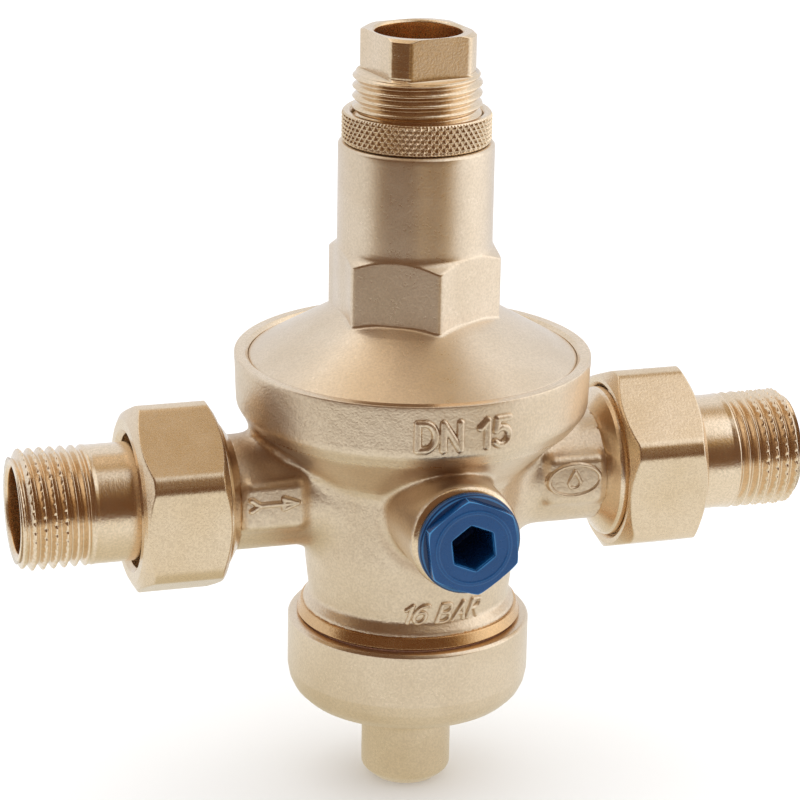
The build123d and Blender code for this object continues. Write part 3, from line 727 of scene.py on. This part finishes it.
def surface_net(field, low, high, step):
    """Points and quads where a distance field crosses zero."""
    sides = [np.arange(a, b + step, step) for a, b in zip(low, high)]
    shape = [len(side) for side in sides]
    values = np.empty(shape, np.float32)
    for i, x in enumerate(sides[0]):
        y, z = np.meshgrid(sides[1], sides[2], indexing="ij")
        values[i] = field(np.stack([np.full_like(y, x), y, z], -1))
    inside = values < 0

    def corner_of(a):
        return tuple(slice((a >> k) & 1, shape[k] - 1 + ((a >> k) & 1)) for k in range(3))

    filled = sum(inside[corner_of(a)].astype(np.int8) for a in range(8))
    cells = np.argwhere((filled > 0) & (filled < 8))
    number = np.full([n - 1 for n in shape], -1, np.int64)
    number[tuple(cells.T)] = np.arange(len(cells))
    offsets = np.array([[(a >> k) & 1 for k in range(3)] for a in range(8)])
    total, hits = np.zeros((len(cells), 3)), np.zeros(len(cells))
    for a, b in EDGES:
        va = values[tuple((cells + offsets[a]).T)].astype(float)
        vb = values[tuple((cells + offsets[b]).T)].astype(float)
        cross = (va < 0) != (vb < 0)
        share = np.where(cross, va / np.where(cross, va - vb, 1.0), 0)[:, None]
        total += np.where(cross[:, None], offsets[a] + share * (offsets[b] - offsets[a]), 0)
        hits += cross
    points = (cells + total / hits[:, None]) * step + np.array(low)
    quads = []
    for axis in range(3):
        one, two = (axis + 1) % 3, (axis + 2) % 3
        first = np.take(inside, np.arange(shape[axis] - 1), axis=axis)
        second = np.take(inside, np.arange(1, shape[axis]), axis=axis)
        spots = np.argwhere(first != second)
        keep = (spots[:, one] > 0) & (spots[:, two] > 0)
        keep &= (spots[:, one] < shape[one] - 1) & (spots[:, two] < shape[two] - 1)
        spots = spots[keep]
        around = []
        for da, db in ((0, 0), (-1, 0), (-1, -1), (0, -1)):
            at = spots.copy()
            at[:, one] += da
            at[:, two] += db
            around.append(number[tuple(at.T)])
        quad = np.stack(around, -1)
        flip = ~first[tuple(spots.T)]
        quad[flip] = quad[flip][:, ::-1]
        quads.append(quad)
    return points, np.concatenate(quads)


def slope(field, points, reach=0.05):
    """The unit direction in which a field grows fastest."""
    grown = []
    for k in range(3):
        shift = np.zeros(3)
        shift[k] = reach
        grown.append((field(points + shift) - field(points - shift)) / (2 * reach))
    grown = np.stack(grown, -1)
    return grown / np.maximum(np.linalg.norm(grown, axis=1, keepdims=True), 1e-6)


def make_casting():
    """The casting's skin, moved onto the distance field and given the field's own normals."""
    step = NET_STEP
    low = (-PORT_NECK_END - 2, -GAUGE_FACE - 2, LIP_RING_TOP - 2)
    high = (PORT_NECK_END + 2, RIM_R + 2, RIM_TOP + 2)
    points, quads = surface_net(body_field, low, high, step)
    for _ in range(3):
        points = points - slope(body_field, points) * np.clip(body_field(points), -0.3, 0.3)[:, None]
    normals = slope(body_field, points, 0.12)
    skin = (points, quads.tolist())
    made = piece("body_casting", skin, cast_brass, "housing", ["valve_body"], normals)
    # Painted shade where the casting is closed in from the light.
    mark_shelter(made.data, casting)

    def machined(x, y, z):
        bore = (hollow(x, y, z) < 0.3) | ((z > LEDGE_Z - 2) & (np.hypot(x, y) < RIM_BORE_R + 0.5))
        return bore | (y < -GAUGE_FACE + TURNED_SPOT_DEPTH)

    refinish(made, turned_upright, machined)


make_casting()


def make_rim_ring():
    """The rim's top edge: its wall as cast, its top face and the start of its bore turned."""
    wall = RIM_R + 0.03
    corners = [
        (RIM_RING_FOOT, RIM_BORE_R), (RIM_RING_FOOT, wall, 0, 0.02), (RIM_TOP, wall, 0, 0.3),
        (RIM_TOP, RIM_BORE_R + 0.6, 0, 0.1), (RIM_TOP - 0.6, RIM_BORE_R, 0, 0.1),
    ]
    skin = lathe(corners, upright, None, 400, 0.1, 0.3)
    made = piece("rim_edge", skin, cast_brass, "housing", ["valve_body"])
    refinish(made, turned_upright, lambda x, y, z: np.hypot(x, y) < RIM_R - 0.25)


def make_lip_ring():
    """The turned lip above the bottom cap, and the spigot that the cap screws on."""
    corners = [
        (LIP_RING_TOP, SPIGOT_BORE_R), (LIP_RING_TOP, LIP_R - 0.65, 0, 0.1), (LIP_Z + 0.35, LIP_R, 0, 0.12),
        (LIP_Z, LIP_R - 0.35, 0, 0.1), (LIP_Z, SPIGOT_R, 0, 0.05), (SPIGOT_Z + 0.6, SPIGOT_R),
        (SPIGOT_Z, SPIGOT_R - 0.6), (SPIGOT_Z, SPIGOT_BORE_R),
    ]
    skin = lathe(corners, upright, None, 300, 0.1, 0.3)
    piece("lip_ring", skin, lip_brass, "housing", ["valve_body"])


make_rim_ring()
make_lip_ring()


def in_pipe_bore(x, y, z):
    return np.hypot(y, z) < BORE_R + 0.1


def make_port_end(name, side):
    """The turned end of one port: shoulder cone, bright rim and union thread."""
    corners = [
        (PORT_NECK_END, 9.7), (PORT_NECK_END, PORT_R + 0.02), (PORT_SHOULDER_END - 0.5, 12.85),
        (PORT_SHOULDER_END, UNION_THREAD_R), (PORT_SHOULDER_END + 0.6, UNION_THREAD_R, 0.13),
        (PORT_END - 0.9, UNION_THREAD_R), (PORT_END, UNION_THREAD_R - 0.9),
        (PORT_END, BORE_R + 0.3), (PORT_END - 0.3, BORE_R), (PORT_NECK_END, BORE_R),
    ]

    def shape(s, r, angle):
        cut = thread_cut(s, angle, UNION_PITCH, PIPE_THREAD_DEPTH, PORT_SHOULDER_END + 1, PORT_END)
        return np.where(r > 12, r - cut, r)

    skin = lathe(corners, along_port(side), shape, 288, 0.2)
    made = piece(name, skin, turned_pipe, "housing", ["valve_body"])
    refinish(made, bore_reflection_brass, in_pipe_bore)


make_port_end("inlet_port_end", -1)
make_port_end("outlet_port_end", 1)

# Bonnet, bottom cap, adjusting screw and lock ring


def make_bonnet():
    """Threaded disc, cone, hexagon and tube in one piece."""
    tube_edge = 0.45
    corners = [
        (BONNET_BASE, 24.0), (BONNET_BASE, BONNET_R - 0.6), (BONNET_BASE + 0.6, BONNET_R),
        (CONE_EDGE_Z - 0.3, BONNET_R), (CONE_EDGE_Z, BONNET_R - 0.35, 0.4), (HEX_FOOT_Z - 1.4, 15.9, 0.16),
        (HEX_FOOT_Z, TUBE_R, 0.3), (HEX_TOP - 2.2, TUBE_R, 0.1), (HEX_TOP + 0.2, TUBE_R, 0.8),
        (TUBE_TOP - tube_edge, TUBE_R), (TUBE_TOP, TUBE_R - tube_edge), (TUBE_TOP, TUBE_BORE_R + 0.35),
        (TUBE_TOP - 0.35, TUBE_BORE_R), (27.5, TUBE_BORE_R), (18.5, BONNET_BORE_R),
        (BONNET_BASE, BONNET_BORE_R),
    ]

    def shape(s, r, angle):
        crown = TUBE_R - 0.15 + (HEX_TOP - s) * 1.25
        prism = soft_min(flats(angle, HEX_FLAT, 6, -90), crown, 0.25)
        prism = soft_min(prism, np.full_like(r, HEX_CORNER_R), 0.3)
        outer = (r > 12.6) & (s > CONE_EDGE_Z + 1) & (s < HEX_TOP + 0.5)
        return np.where(outer, soft_max(r, prism, 0.7), r)

    skin = lathe(corners, upright, shape, 540, 0.35)
    piece("bonnet_shell", skin, blasted_brass, "housing", ["bonnet"])


def make_cap():
    """Screwed cap with a rounded shoulder and the small guide boss."""
    corners = [
        (CAP_TOP, SPIGOT_R + 1.4), (CAP_TOP, 20.9, 0, 0.15), (CAP_TOP - 0.5, CAP_R, 0, 0.3),
        (-34.8, CAP_R, 0, 1.5), (-36.7, 20.95, 0, 2.0), (-38.3, 20.2, 0, 2.0), (-39.8, 18.7, 0, 1.5),
        (-40.6, 16.8, 0, 2.0), (-41.3, 14.0, 0, 3.0), (-42.4, 11.0, 0, 3.0), (-43.5, 8.9, 0, 1.5),
        (-44.9, CAP_BOSS_R, 0, 1.5), (CAP_BOTTOM + 2.0, CAP_BOSS_R, 0, 1.6),
        (CAP_BOTTOM, CAP_BOSS_R - 2.3, 0, 1.2),
        (CAP_BOTTOM, 0.4), (CAP_GUIDE[0], 0.4), CAP_GUIDE, (CAP_CHAMBER[0], CAP_GUIDE[1]), CAP_CHAMBER,
        (CAP_THREAD_END, CAP_CHAMBER[1]), (CAP_THREAD_END, SPIGOT_R + 0.05), (CAP_TOP - 0.8, SPIGOT_R + 0.05),
        (CAP_TOP - 0.8, CAP_RIM_BORE_R), (CAP_TOP, CAP_RIM_BORE_R),
    ]
    skin = lathe(corners, upright, None, 300, 0.2)
    piece("cap_shell", skin, blasted_brass, "housing", ["bottom_cap"])


def make_screw():
    """Hollow adjusting screw: metric thread below, square head above."""
    corners = [
        (SCREW_BOTTOM, 0.4), (SCREW_BOTTOM, SCREW_R - 0.9, 0.4), (SCREW_BOTTOM + 0.9, SCREW_R, 0.4),
        (64.5, SCREW_R, 0.11), (HEAD_BASE - 0.5, SCREW_R, 0.1), (HEAD_BASE + 0.25, 9.8, 0.12),
        (HEAD_BASE + 0.6, HEAD_R, 0.25), (SCREW_TOP - 1.2, HEAD_R, 0.1), (SCREW_TOP - 0.45, HEAD_R, 0.1, 0.1),
        (SCREW_TOP, HEAD_R - 0.8, 0.2, 0.15), (SCREW_TOP, SOCKET_R + 0.4, 0.2, 0.2),
        (SCREW_TOP - 0.4, SOCKET_R, 0.6), (SOCKET_FLOOR, SOCKET_R - 0.6), (SOCKET_FLOOR - 0.5, 0.4),
    ]

    def shape(s, r, angle):
        cut = thread_cut(s, angle, SCREW_PITCH, SCREW_THREAD_DEPTH, SCREW_BOTTOM + 1, HEAD_BASE - 0.3)
        threaded = np.where((r > 10) & (s < HEAD_BASE), r - cut, r)
        square = flats(angle, HEAD_FLAT, 4, HEAD_TURN)
        head = soft_min(threaded, square, 0.3)
        return np.where((s > HEAD_BASE - 0.1) & (r > 8.05), head, threaded)

    skin = lathe(corners, upright, shape, 360, 0.25, closed=False)
    made = piece("screw_with_head", skin, turned_upright, "adjuster", ["adjusting_screw"])
    refinish(made, bore_reflection_brass, lambda x, y, z: (np.hypot(x, y) < SOCKET_R + 0.05) & (z > SCREW_BOTTOM + 1))


def make_ring():
    """Lock ring with a diamond knurl between two plain edges."""
    bottom, top = RING_Z
    corners = [
        (bottom, SCREW_R + 0.05), (bottom, RING_R - 0.5), (bottom + 0.35, RING_R - 0.05, 0.1),
        (top - 0.35, RING_R - 0.05), (top, RING_R - 0.5), (top, SCREW_R + 0.5), (top - 0.45, SCREW_R + 0.05),
    ]
    cells, lead = 64, 0.33

    def shape(s, r, angle):
        turns = cells * angle / (2 * math.pi)
        one = np.abs(2 * np.mod(turns + (s - bottom) * lead * 2, 1) - 1)
        other = np.abs(2 * np.mod(turns - (s - bottom) * lead * 2, 1) - 1)
        cut = 0.45 * np.clip(1.2 * np.maximum(one, other) - 0.2, 0, 1)
        band = smooth_step(s, bottom + 0.1, bottom + 0.5) * (1 - smooth_step(s, top - 0.5, top - 0.1))
        return np.where(r > RING_R - 0.8, r - cut * band, r)

    skin = lathe(corners, upright, shape, 1024, 0.12, 0.5)
    piece("knurled_ring", skin, turned_upright, "locking", ["lock_ring"])


make_bonnet()
make_cap()
make_screw()
make_ring()

# Union joints


def make_tailpiece(name, node, side, body):
    """Collar, plain neck and the pipe thread, whose first crests are notched for hemp."""
    end = HALF_LENGTH
    corners = [
        (COLLAR_START, BORE_R + 0.4), (COLLAR_START, COLLAR_R - 0.3), (COLLAR_START + 0.3, COLLAR_R),
        (COLLAR_END, COLLAR_R), (COLLAR_END, NECK_R), (PIPE_THREAD_START - 1.2, NECK_R, 0.12),
        (PIPE_THREAD_START, PIPE_THREAD_R - 0.1, 0.12), (end - 1.2, PIPE_THREAD_R, 0.12),
        (end, PIPE_THREAD_R - 1.25), (end, BORE_R + 0.5), (end - 0.5, BORE_R),
    ]
    notches = 38

    def shape(s, r, angle):
        cut = thread_cut(s, angle, PIPE_PITCH, PIPE_THREAD_DEPTH, PIPE_THREAD_START - 0.2, end + 0.6, 1.0)
        crest = np.clip(1 - cut / 0.5, 0, 1)
        tooth = np.abs(2 * np.mod(notches * angle / (2 * math.pi) + 0.15 * s, 1) - 1)
        notched = smooth_step(s, end - 8.6, end - 7.6) * (1 - smooth_step(s, end - 1.0, end - 0.4))
        nick = 0.28 * np.clip(tooth * 1.6 - 0.7, 0, 1) * crest * notched
        return np.where(r > 9.15, r - cut - nick, r)

    skin = lathe(corners, along_port(side), shape, 456, 0.2)
    made = piece(name, skin, turned_pipe, body, [node])
    refinish(made, bore_reflection_brass, in_pipe_bore)


def make_nut(name, node, side, body):
    """Hexagon nut: chamfered outer face, small chamfer inside, cut-off corners."""
    corners = [
        (NUT_START, 14.1), (NUT_START, 14.9, 0.15, 0.1), (NUT_START + 1.5, NUT_CORNER_R + 0.2, 0.5, 0.1),
        (NUT_END - 1.9, NUT_CORNER_R + 0.2, 0.12, 0.1), (NUT_END - 0.5, 15.0, 0.2, 0.2),
        (NUT_END, 14.0, 0.3, 0.3), (NUT_END, NUT_HOLE_R + 0.8, 0.3, 0.2), (NUT_END - 0.8, NUT_HOLE_R),
        (COLLAR_END + 0.05, NUT_HOLE_R), (COLLAR_END + 0.05, UNION_THREAD_R + 0.05),
        (NUT_START + 0.8, UNION_THREAD_R + 0.05),
    ]

    def shape(s, r, angle):
        prism = flats(angle, NUT_FLAT, 6, NUT_CORNER_TURN[side])
        prism = soft_min(prism, np.full_like(r, NUT_CORNER_R), 0.35)
        return np.where(r > 14.5, soft_min(r, prism, 0.3), r)

    skin = lathe(corners, along_port(side), shape, 540, 0.25)
    piece(name, skin, nut_brass, body, [node])


for end_name, side in (("inlet", -1), ("outlet", 1)):
    make_tailpiece(f"{end_name}_threaded_tail", f"{end_name}_tailpiece", side, f"{end_name}_tail")
    make_nut(f"{end_name}_nut", f"{end_name}_union_nut", side, f"{end_name}_nut")

# Gauge plug


def make_plug():
    """Moulded plug: threaded shank, flange, hexagon with a raised ring and a hexagon socket."""
    face = PLUG_FACE - PLUG_RING_RISE
    floor = PLUG_START + 2.0
    ring_in, ring_out = PLUG_RING_R
    corners = [
        (PLUG_START, 0.3), (PLUG_START, GAUGE_THREAD_R - 0.8), (PLUG_START + 0.8, GAUGE_THREAD_R, 0.12),
        (PLUG_SEAT - 1.0, GAUGE_THREAD_R), (PLUG_SEAT, GAUGE_THREAD_R - 0.2),
        (PLUG_SEAT, PLUG_FLANGE_R - 0.3), (PLUG_SEAT + 0.3, PLUG_FLANGE_R),
        (PLUG_FLANGE_END - 0.3, PLUG_FLANGE_R), (PLUG_FLANGE_END, PLUG_FLANGE_R - 0.35, 0.15),
        (PLUG_FLANGE_END, PLUG_HEX_R, 0.15, 0.15),
        (face, PLUG_HEX_R - 0.05, 0.15, 0.35), (face, ring_out + 0.25, 0.12, 0.1),
        (PLUG_FACE, ring_out, 0.1, 0.1), (PLUG_FACE, ring_in, 0.12, 0.1),
        (face, ring_in - 0.25, 0.12, 0.1), (face, PLUG_SOCKET_R + 0.25, 0.1, 0.2),
        (face - 0.35, PLUG_SOCKET_R, 0.4, 0.2), (floor, PLUG_SOCKET_R - 0.1), (floor, 0.3),
    ]
    corner_scale = math.cos(math.pi / 6)

    def shape(s, r, angle):
        cut = thread_cut(s, angle, GAUGE_PITCH, 0.8, PLUG_START + 0.8, PLUG_SEAT - 0.8)
        shank = np.where((r > 5) & (s < PLUG_SEAT - 0.2), r - cut, r)
        hexagon = flats(angle, PLUG_HEX_R * corner_scale, 6, PLUG_TURN)
        outer = soft_min(r, hexagon, 0.9)
        key = (r < PLUG_SOCKET_R + 0.4) & (r > 1.0) & (s > floor - 0.01) & (s > PLUG_START + 0.5)
        sunk = r * soft_min(flats(angle, corner_scale, 6, PLUG_TURN), np.full_like(r, 0.985), 0.05)
        sides = (s > PLUG_FLANGE_END - 0.02) & (r > ring_out + 0.26) & (r < PLUG_HEX_R + 0.01)
        result = np.where(sides, outer, shank)
        return np.where(key, sunk, result)

    skin = lathe(corners, along_gauge, shape, 360, 0.15, closed=False)
    piece("blue_plug", skin, blue_plastic, "plug", ["port_plug"])


make_plug()

# Raised cast marks: soft ridges on small shells let into the casting


def arc(cx, cy, rx, ry, start, end, count=14):
    """Points on an elliptic arc, in degrees."""
    t = np.radians(np.linspace(start, end, count))
    return [(cx + rx * math.cos(a), cy + ry * math.sin(a)) for a in t]


GLYPHS = {
    "D": [[(0, 0), (0, 1)], [(0, 1), (0.25, 1)] + arc(0.25, 0.5, 0.4, 0.5, 90, -90) + [(0, 0)]],
    "N": [[(0, 0), (0, 1), (0.62, 0), (0.62, 1)]],
    "1": [[(0.02, 0.72), (0.3, 1), (0.3, 0)]],
    "5": [[(0.58, 1), (0.1, 1), (0.06, 0.56)] + arc(0.28, 0.33, 0.32, 0.33, 130, -140)],
    "6": [arc(0.45, 0.5, 0.43, 0.5, 70, 180) + arc(0.32, 0.31, 0.3, 0.31, 180, 540, 24)],
    "B": [[(0, 0), (0, 1), (0.3, 1)] + arc(0.3, 0.76, 0.26, 0.24, 90, -90) + [(0, 0.52)],
          [(0.3, 0.52)] + arc(0.32, 0.26, 0.3, 0.26, 90, -90) + [(0, 0)]],
    "A": [[(0, 0), (0.33, 1), (0.66, 0)], [(0.13, 0.36), (0.53, 0.36)]],
    "R": [[(0, 0), (0, 1), (0.3, 1)] + arc(0.3, 0.75, 0.28, 0.25, 90, -90) + [(0, 0.5)],
          [(0.3, 0.5), (0.6, 0)]],
}


def lettering(text, height, gap, slant=0.0):
    """Strokes of a line of text, centred on the origin."""
    strokes, cursor = [], 0.0
    for letter in text:
        if letter == " ":
            cursor += height * 0.45
            continue
        for stroke in GLYPHS[letter]:
            strokes.append([(x * height + slant * y * height + cursor, y * height) for x, y in stroke])
        cursor += max(x for stroke in GLYPHS[letter] for x, _ in stroke) * height + gap
    middle = (cursor - gap) / 2
    return [[(x - middle, y - height / 2) for x, y in stroke] for stroke in strokes]


def raised_mark(name, strokes, width, rise, where, step=0.1):
    """A thin shell whose top breaks the surface only along the strokes. where(u, v, h) places it."""
    ends = np.array([spot for stroke in strokes for spot in stroke])
    margin = width + 0.5
    u = np.arange(ends[:, 0].min() - margin, ends[:, 0].max() + margin, step)
    v = np.arange(ends[:, 1].min() - margin, ends[:, 1].max() + margin, step)
    u, v = np.meshgrid(u, v, indexing="ij")
    nearest = np.full(u.shape, np.inf)
    for stroke in strokes:
        for start, end in zip(stroke, stroke[1:]):
            nearest = np.minimum(nearest, stretch_distance(u, v, start, end))
    ridge = np.sqrt(np.clip(1 - (nearest / width) ** 2, 0, 1))
    skirt = smooth_step(nearest, width * 0.75, width * 1.3)
    top = rise * ridge - 0.16 * skirt
    upper = where(u, v, top).reshape(-1, 3)
    lower = where(u, v, np.full_like(top, -0.7)).reshape(-1, 3)
    index = np.arange(len(upper)).reshape(u.shape)
    near = nearest < width * 1.3 + step
    kept = near[:-1, :-1] & near[1:, :-1] & near[1:, 1:] & near[:-1, 1:]
    grid = np.stack([index[:-1, :-1], index[1:, :-1], index[1:, 1:], index[:-1, 1:]], -1)[kept]
    sides = np.concatenate([grid[:, (0, 1)], grid[:, (1, 2)], grid[:, (2, 3)], grid[:, (3, 0)]])
    code = sides[:, 0] * len(upper) + sides[:, 1]
    rim = sides[~np.isin(code, sides[:, 1] * len(upper) + sides[:, 0])]
    wall = np.stack([rim[:, 1], rim[:, 0], rim[:, 0] + len(upper), rim[:, 1] + len(upper)], -1)
    used, faces = np.unique(np.concatenate([grid, grid[:, ::-1] + len(upper), wall]), return_inverse=True)
    skin = (np.concatenate([upper, lower])[used], faces.reshape(-1, 4).tolist())
    piece(name, skin, cast_brass, "housing")


def on_cylinder(radius, angle_degrees, height, taper=0.0):
    """A patch wrapped on an upright, slightly tapered cylinder round the valve axis."""

    def spot(u, v, h):
        angle = math.radians(angle_degrees) + u / radius
        r = radius + taper * v + h
        return np.stack([r * np.cos(angle), r * np.sin(angle), height + v], -1)

    return spot


def on_pad(x, z):
    """A patch on the flat front of a port's pad."""

    def spot(u, v, h):
        return np.stack([x + u, np.full_like(u, -PAD_FACE) - h, z + v], -1)

    return spot


raised_mark("rim_mark", lettering("DN 15", 4.6, 1.3), 0.72, 0.7, on_cylinder(RIM_R - 0.15, -90.0, 18.1))
on_neck = on_cylinder(SPIGOT_R - 0.07, -88.0, -18.7, 0.12)
raised_mark("neck_mark", lettering("16 BAR", 3.3, 0.8, 0.3), 0.42, 0.5, on_neck)
ARROW = [[(-2.6, 0), (3.2, 0)], [(-4.0, 0.95), (-2.6, 0), (-4.0, -0.95)],
         [(1.6, 0.9), (3.9, 0), (1.6, -0.9), (1.6, 0.9)]]
raised_mark("flow_arrow", ARROW, 0.65, 0.6, on_pad(-PAD_X - 0.1, PAD_Z + 0.6))
DROPLET = [[(0, 1.7), (-0.9, 0.1)] + arc(0, -0.45, 1.05, 1.05, 150, 390, 18) + [(0, 1.7)]]
OVAL = [arc(0, 0, 4.7, 2.85, 0, 360, 48)]
raised_mark("oval_mark", OVAL + DROPLET, 0.4, 0.5, on_pad(PAD_X - 0.5, PAD_Z + 0.2))

# Inside: spring in two lengths, and the diaphragm; the other CAD nodes keep their shapes

TURN_SPLIT = 0.25


def coil(name, low, high):
    """A length of the adjusting spring, from share low to share high of its height."""
    z0, z1 = SPRING_Z
    count = int(SPRING_TURNS * 40 * (high - low))
    share = np.linspace(low, high, count + 1)
    turn = share * SPRING_TURNS * 2 * math.pi
    around = np.linspace(0, 2 * math.pi, 16, endpoint=False)
    r = SPRING_R + SPRING_WIRE_R * np.cos(around)[None, :]
    z = (z0 + (z1 - z0) * share)[:, None] + SPRING_WIRE_R * np.sin(around)[None, :]
    points = np.stack([r * np.cos(turn)[:, None], r * np.sin(turn)[:, None], z], -1).reshape(-1, 3)
    skin = (points, tube_faces(np.arange(len(points)).reshape(count + 1, 16), False))
    return piece(name, skin, spring_steel, None, ["adjusting_spring"])


spring_top = coil("spring_upper_coils", TURN_SPLIT, 1.0)
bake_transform(spring_top)
spring_foot = coil("spring_lower_coils", 0.0, TURN_SPLIT)
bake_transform(spring_foot)


def make_diaphragm():
    """Rubber diaphragm with one rolled fold between its clamped rim and centre."""
    z = LEDGE_Z
    thick = 1.5
    low = z - 2.5
    hole_r, outer_r = 3.05, 28.2
    corners = [
        (low, hole_r), (low, 16.3, 0, 1.5), (z - 0.6, 20.5, 0, 3.0), (z, 24.6, 0, 2.0), (z, outer_r),
        (z + thick, outer_r), (z + thick, 24.4, 0, 2.0), (z + thick - 0.7, 20.4, 0, 3.0),
        (low + thick, 16.0, 0, 1.5), (low + thick, hole_r),
    ]
    skin = lathe(corners, upright, None, 180, 0.3, 0.8)
    made = piece("rubber_diaphragm", skin, black_rubber, None, ["diaphragm"])
    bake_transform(made)


make_diaphragm()

CAD_FINISHES = {
    "cap_gasket": fibre_sheet, "slip_ring": turned_upright, "seat_ring": stainless,
    "upper_spring_plate": turned_upright, "valve_stem": stainless, "stem_o_ring": black_rubber,
    "disc_holder": turned_upright, "valve_disc": black_rubber, "disc_nut": turned_upright,
    "diaphragm_washer": turned_upright, "lower_spring_plate": turned_upright, "stem_nut": stainless,
    "inlet_gasket": fibre_sheet, "outlet_gasket": fibre_sheet, "port_seal": black_rubber,
}
for node, material in CAD_FINISHES.items():
    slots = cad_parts[node].data.materials
    slots.clear()
    slots.append(material)

# Floor, card, world and lights

FLOOR_TONE = rgb(0.92, 0.92, 0.92)
FLOOR_HALF = 3.0
CARD_R = 254.0
CARD_CENTRE = (-25, 0)
# Painted shadow of the valve on the card: its centre, its fade distances and its tone.
CARD_SHADOW_CENTRE = (-20, 0)
CARD_SHADOW_FADE = (0.02, 0.085)
CARD_SHADOW_TONE = rgb(0.69, 0.67, 0.56)
CARD_FAR = rgb(0.94, 0.98, 1.00)
BRIGHT = rgb(0.90, 0.95, 1.04)
HALF_SHADE = rgb(0.47, 0.32, 0.12)
SHADE = rgb(0.145, 0.066, 0.022)
SHADE_STOPS = (0.08, 0.30, 0.60)
SHADE_PATCHES = ((-41, 25, 38, 62, 1.0), (12, 8, -6, 54, 1.0), (170, 76, 4, 38, 0.44))
BRIGHT_PATCH = (82, 3, 0, 55, 1.0)
BRIGHT_PATCH_GAIN = 0.5
PLAIN_STRENGTH = 1.22


def flat_sheet(name, points, material):
    """A flat sheet through points in metres."""
    mesh = bpy.data.meshes.new(name)
    mesh.from_pydata([tuple(point) for point in points], [], [tuple(range(len(points)))])
    mesh.materials.append(material)
    sheet = bpy.data.objects.new(name, mesh)
    bpy.context.scene.collection.objects.link(sheet)
    return sheet


def make_floor():
    """A plain pale floor that the valve's foot stands on."""
    material = bpy.data.materials.new("floor")
    material.use_nodes = True
    shader = material.node_tree.nodes["Principled BSDF"]
    shader.inputs["Base Color"].default_value = FLOOR_TONE
    shader.inputs["Roughness"].default_value = 0.9
    shader.inputs["Specular IOR Level"].default_value = 0.1
    around = ((-1, -1), (1, -1), (1, 1), (-1, 1))
    corners = [(x * FLOOR_HALF, y * FLOOR_HALF, CAP_BOTTOM * MM) for x, y in around]
    floor = flat_sheet("floor", corners, material)
    floor.visible_glossy = False


def make_card():
    """A glowing white sheet under the valve, which only the metal's reflections see, with a painted shadow of
    the valve near its foot.
    """
    material = bpy.data.materials.new("card")
    material.use_nodes = True
    n = Nodes(material.node_tree)
    n.tree.nodes.clear()
    where = n.add("NewGeometry").outputs["Position"]
    darkest = tuple(place((*CARD_SHADOW_CENTRE, CAP_BOTTOM)))
    away = n.add("VectorMath", {0: where, 1: darkest}, operation="DISTANCE").outputs["Value"]
    # Painted shadow: the card glows darker near the valve's foot.
    tone = n.mix(n.remap(away, *CARD_SHADOW_FADE, 0.0, 1.0), CARD_SHADOW_TONE, CARD_FAR)
    n.add("OutputMaterial", {"Surface": n.add("Emission", {"Color": tone}).outputs[0]})
    around = np.linspace(0, 2 * math.pi, 96, endpoint=False)
    x, y = CARD_CENTRE[0] + CARD_R * np.cos(around), CARD_CENTRE[1] + CARD_R * np.sin(around)
    points = place(np.stack([x, y, np.full_like(x, CAP_BOTTOM + 0.2)], -1))
    card = flat_sheet("card", points.tolist(), material)
    card.visible_camera = False
    card.visible_diffuse = False
    card.visible_shadow = False


def make_world():
    """A pale studio that the metal reflects, with darker, warmer patches, and plain for all else."""
    world = bpy.data.worlds.new("studio")
    world.use_nodes = True
    bpy.context.scene.world = world
    n = Nodes(world.node_tree)
    n.tree.nodes.clear()
    where = n.add("TexCoord").outputs["Generated"]

    def patch(azimuth, elevation, inner, outer, most):
        """Most inside an angle of this direction, fading to zero at the outer angle."""
        towards = direction(azimuth, elevation)
        facing = n.add("VectorMath", {0: where, 1: towards}, operation="DOT_PRODUCT").outputs["Value"]
        away = n.math("ARCCOSINE", facing)
        outer, inner = math.radians(outer), math.radians(inner)
        ends = {"Value": away, "From Min": outer, "From Max": inner, "To Max": most}
        return n.add("MapRange", ends, interpolation_type="SMOOTHSTEP").outputs["Result"]

    dark = patch(*SHADE_PATCHES[0])
    for settings in SHADE_PATCHES[1:]:
        dark = n.math("MAXIMUM", dark, patch(*settings))
    ramp = n.add("ValToRGB", {"Fac": dark})
    first, last = ramp.color_ramp.elements
    first.position, first.color = SHADE_STOPS[0], BRIGHT
    last.position, last.color = SHADE_STOPS[2], SHADE
    ramp.color_ramp.elements.new(SHADE_STOPS[1]).color = HALF_SHADE
    gain = n.math("MULTIPLY_ADD", patch(*BRIGHT_PATCH), BRIGHT_PATCH_GAIN, 1.0)
    studio = n.add("Background", {"Color": ramp.outputs["Color"], "Strength": gain}).outputs[0]
    plain = n.add("Background", {"Color": rgb(1, 1, 1), "Strength": PLAIN_STRENGTH}).outputs[0]
    glossy = n.add("LightPath").outputs["Is Glossy Ray"]
    n.add("OutputWorld", {"Surface": n.add("MixShader", {0: glossy, 1: plain, 2: studio}).outputs[0]})


def make_light(name, azimuth, elevation, distance, size, power):
    """A soft round light aimed at the valve."""
    data = bpy.data.lights.new(name, "AREA")
    data.shape = "DISK"
    data.size = size
    data.energy = power
    lamp = bpy.data.objects.new(name, data)
    bpy.context.scene.collection.objects.link(lamp)
    towards = Vector(direction(azimuth, elevation))
    lamp.location = Vector(place((0, 0, 10))) + towards * distance
    lamp.rotation_euler = towards.to_track_quat("Z", "Y").to_euler()


make_floor()
make_card()
make_world()
make_light("key_light", 75, 40, 1.1, 1.3, 1.3)
make_light("top_light", -150, 70, 1.2, 0.9, 1.0)
bpy.context.scene.view_settings.view_transform = "Standard"
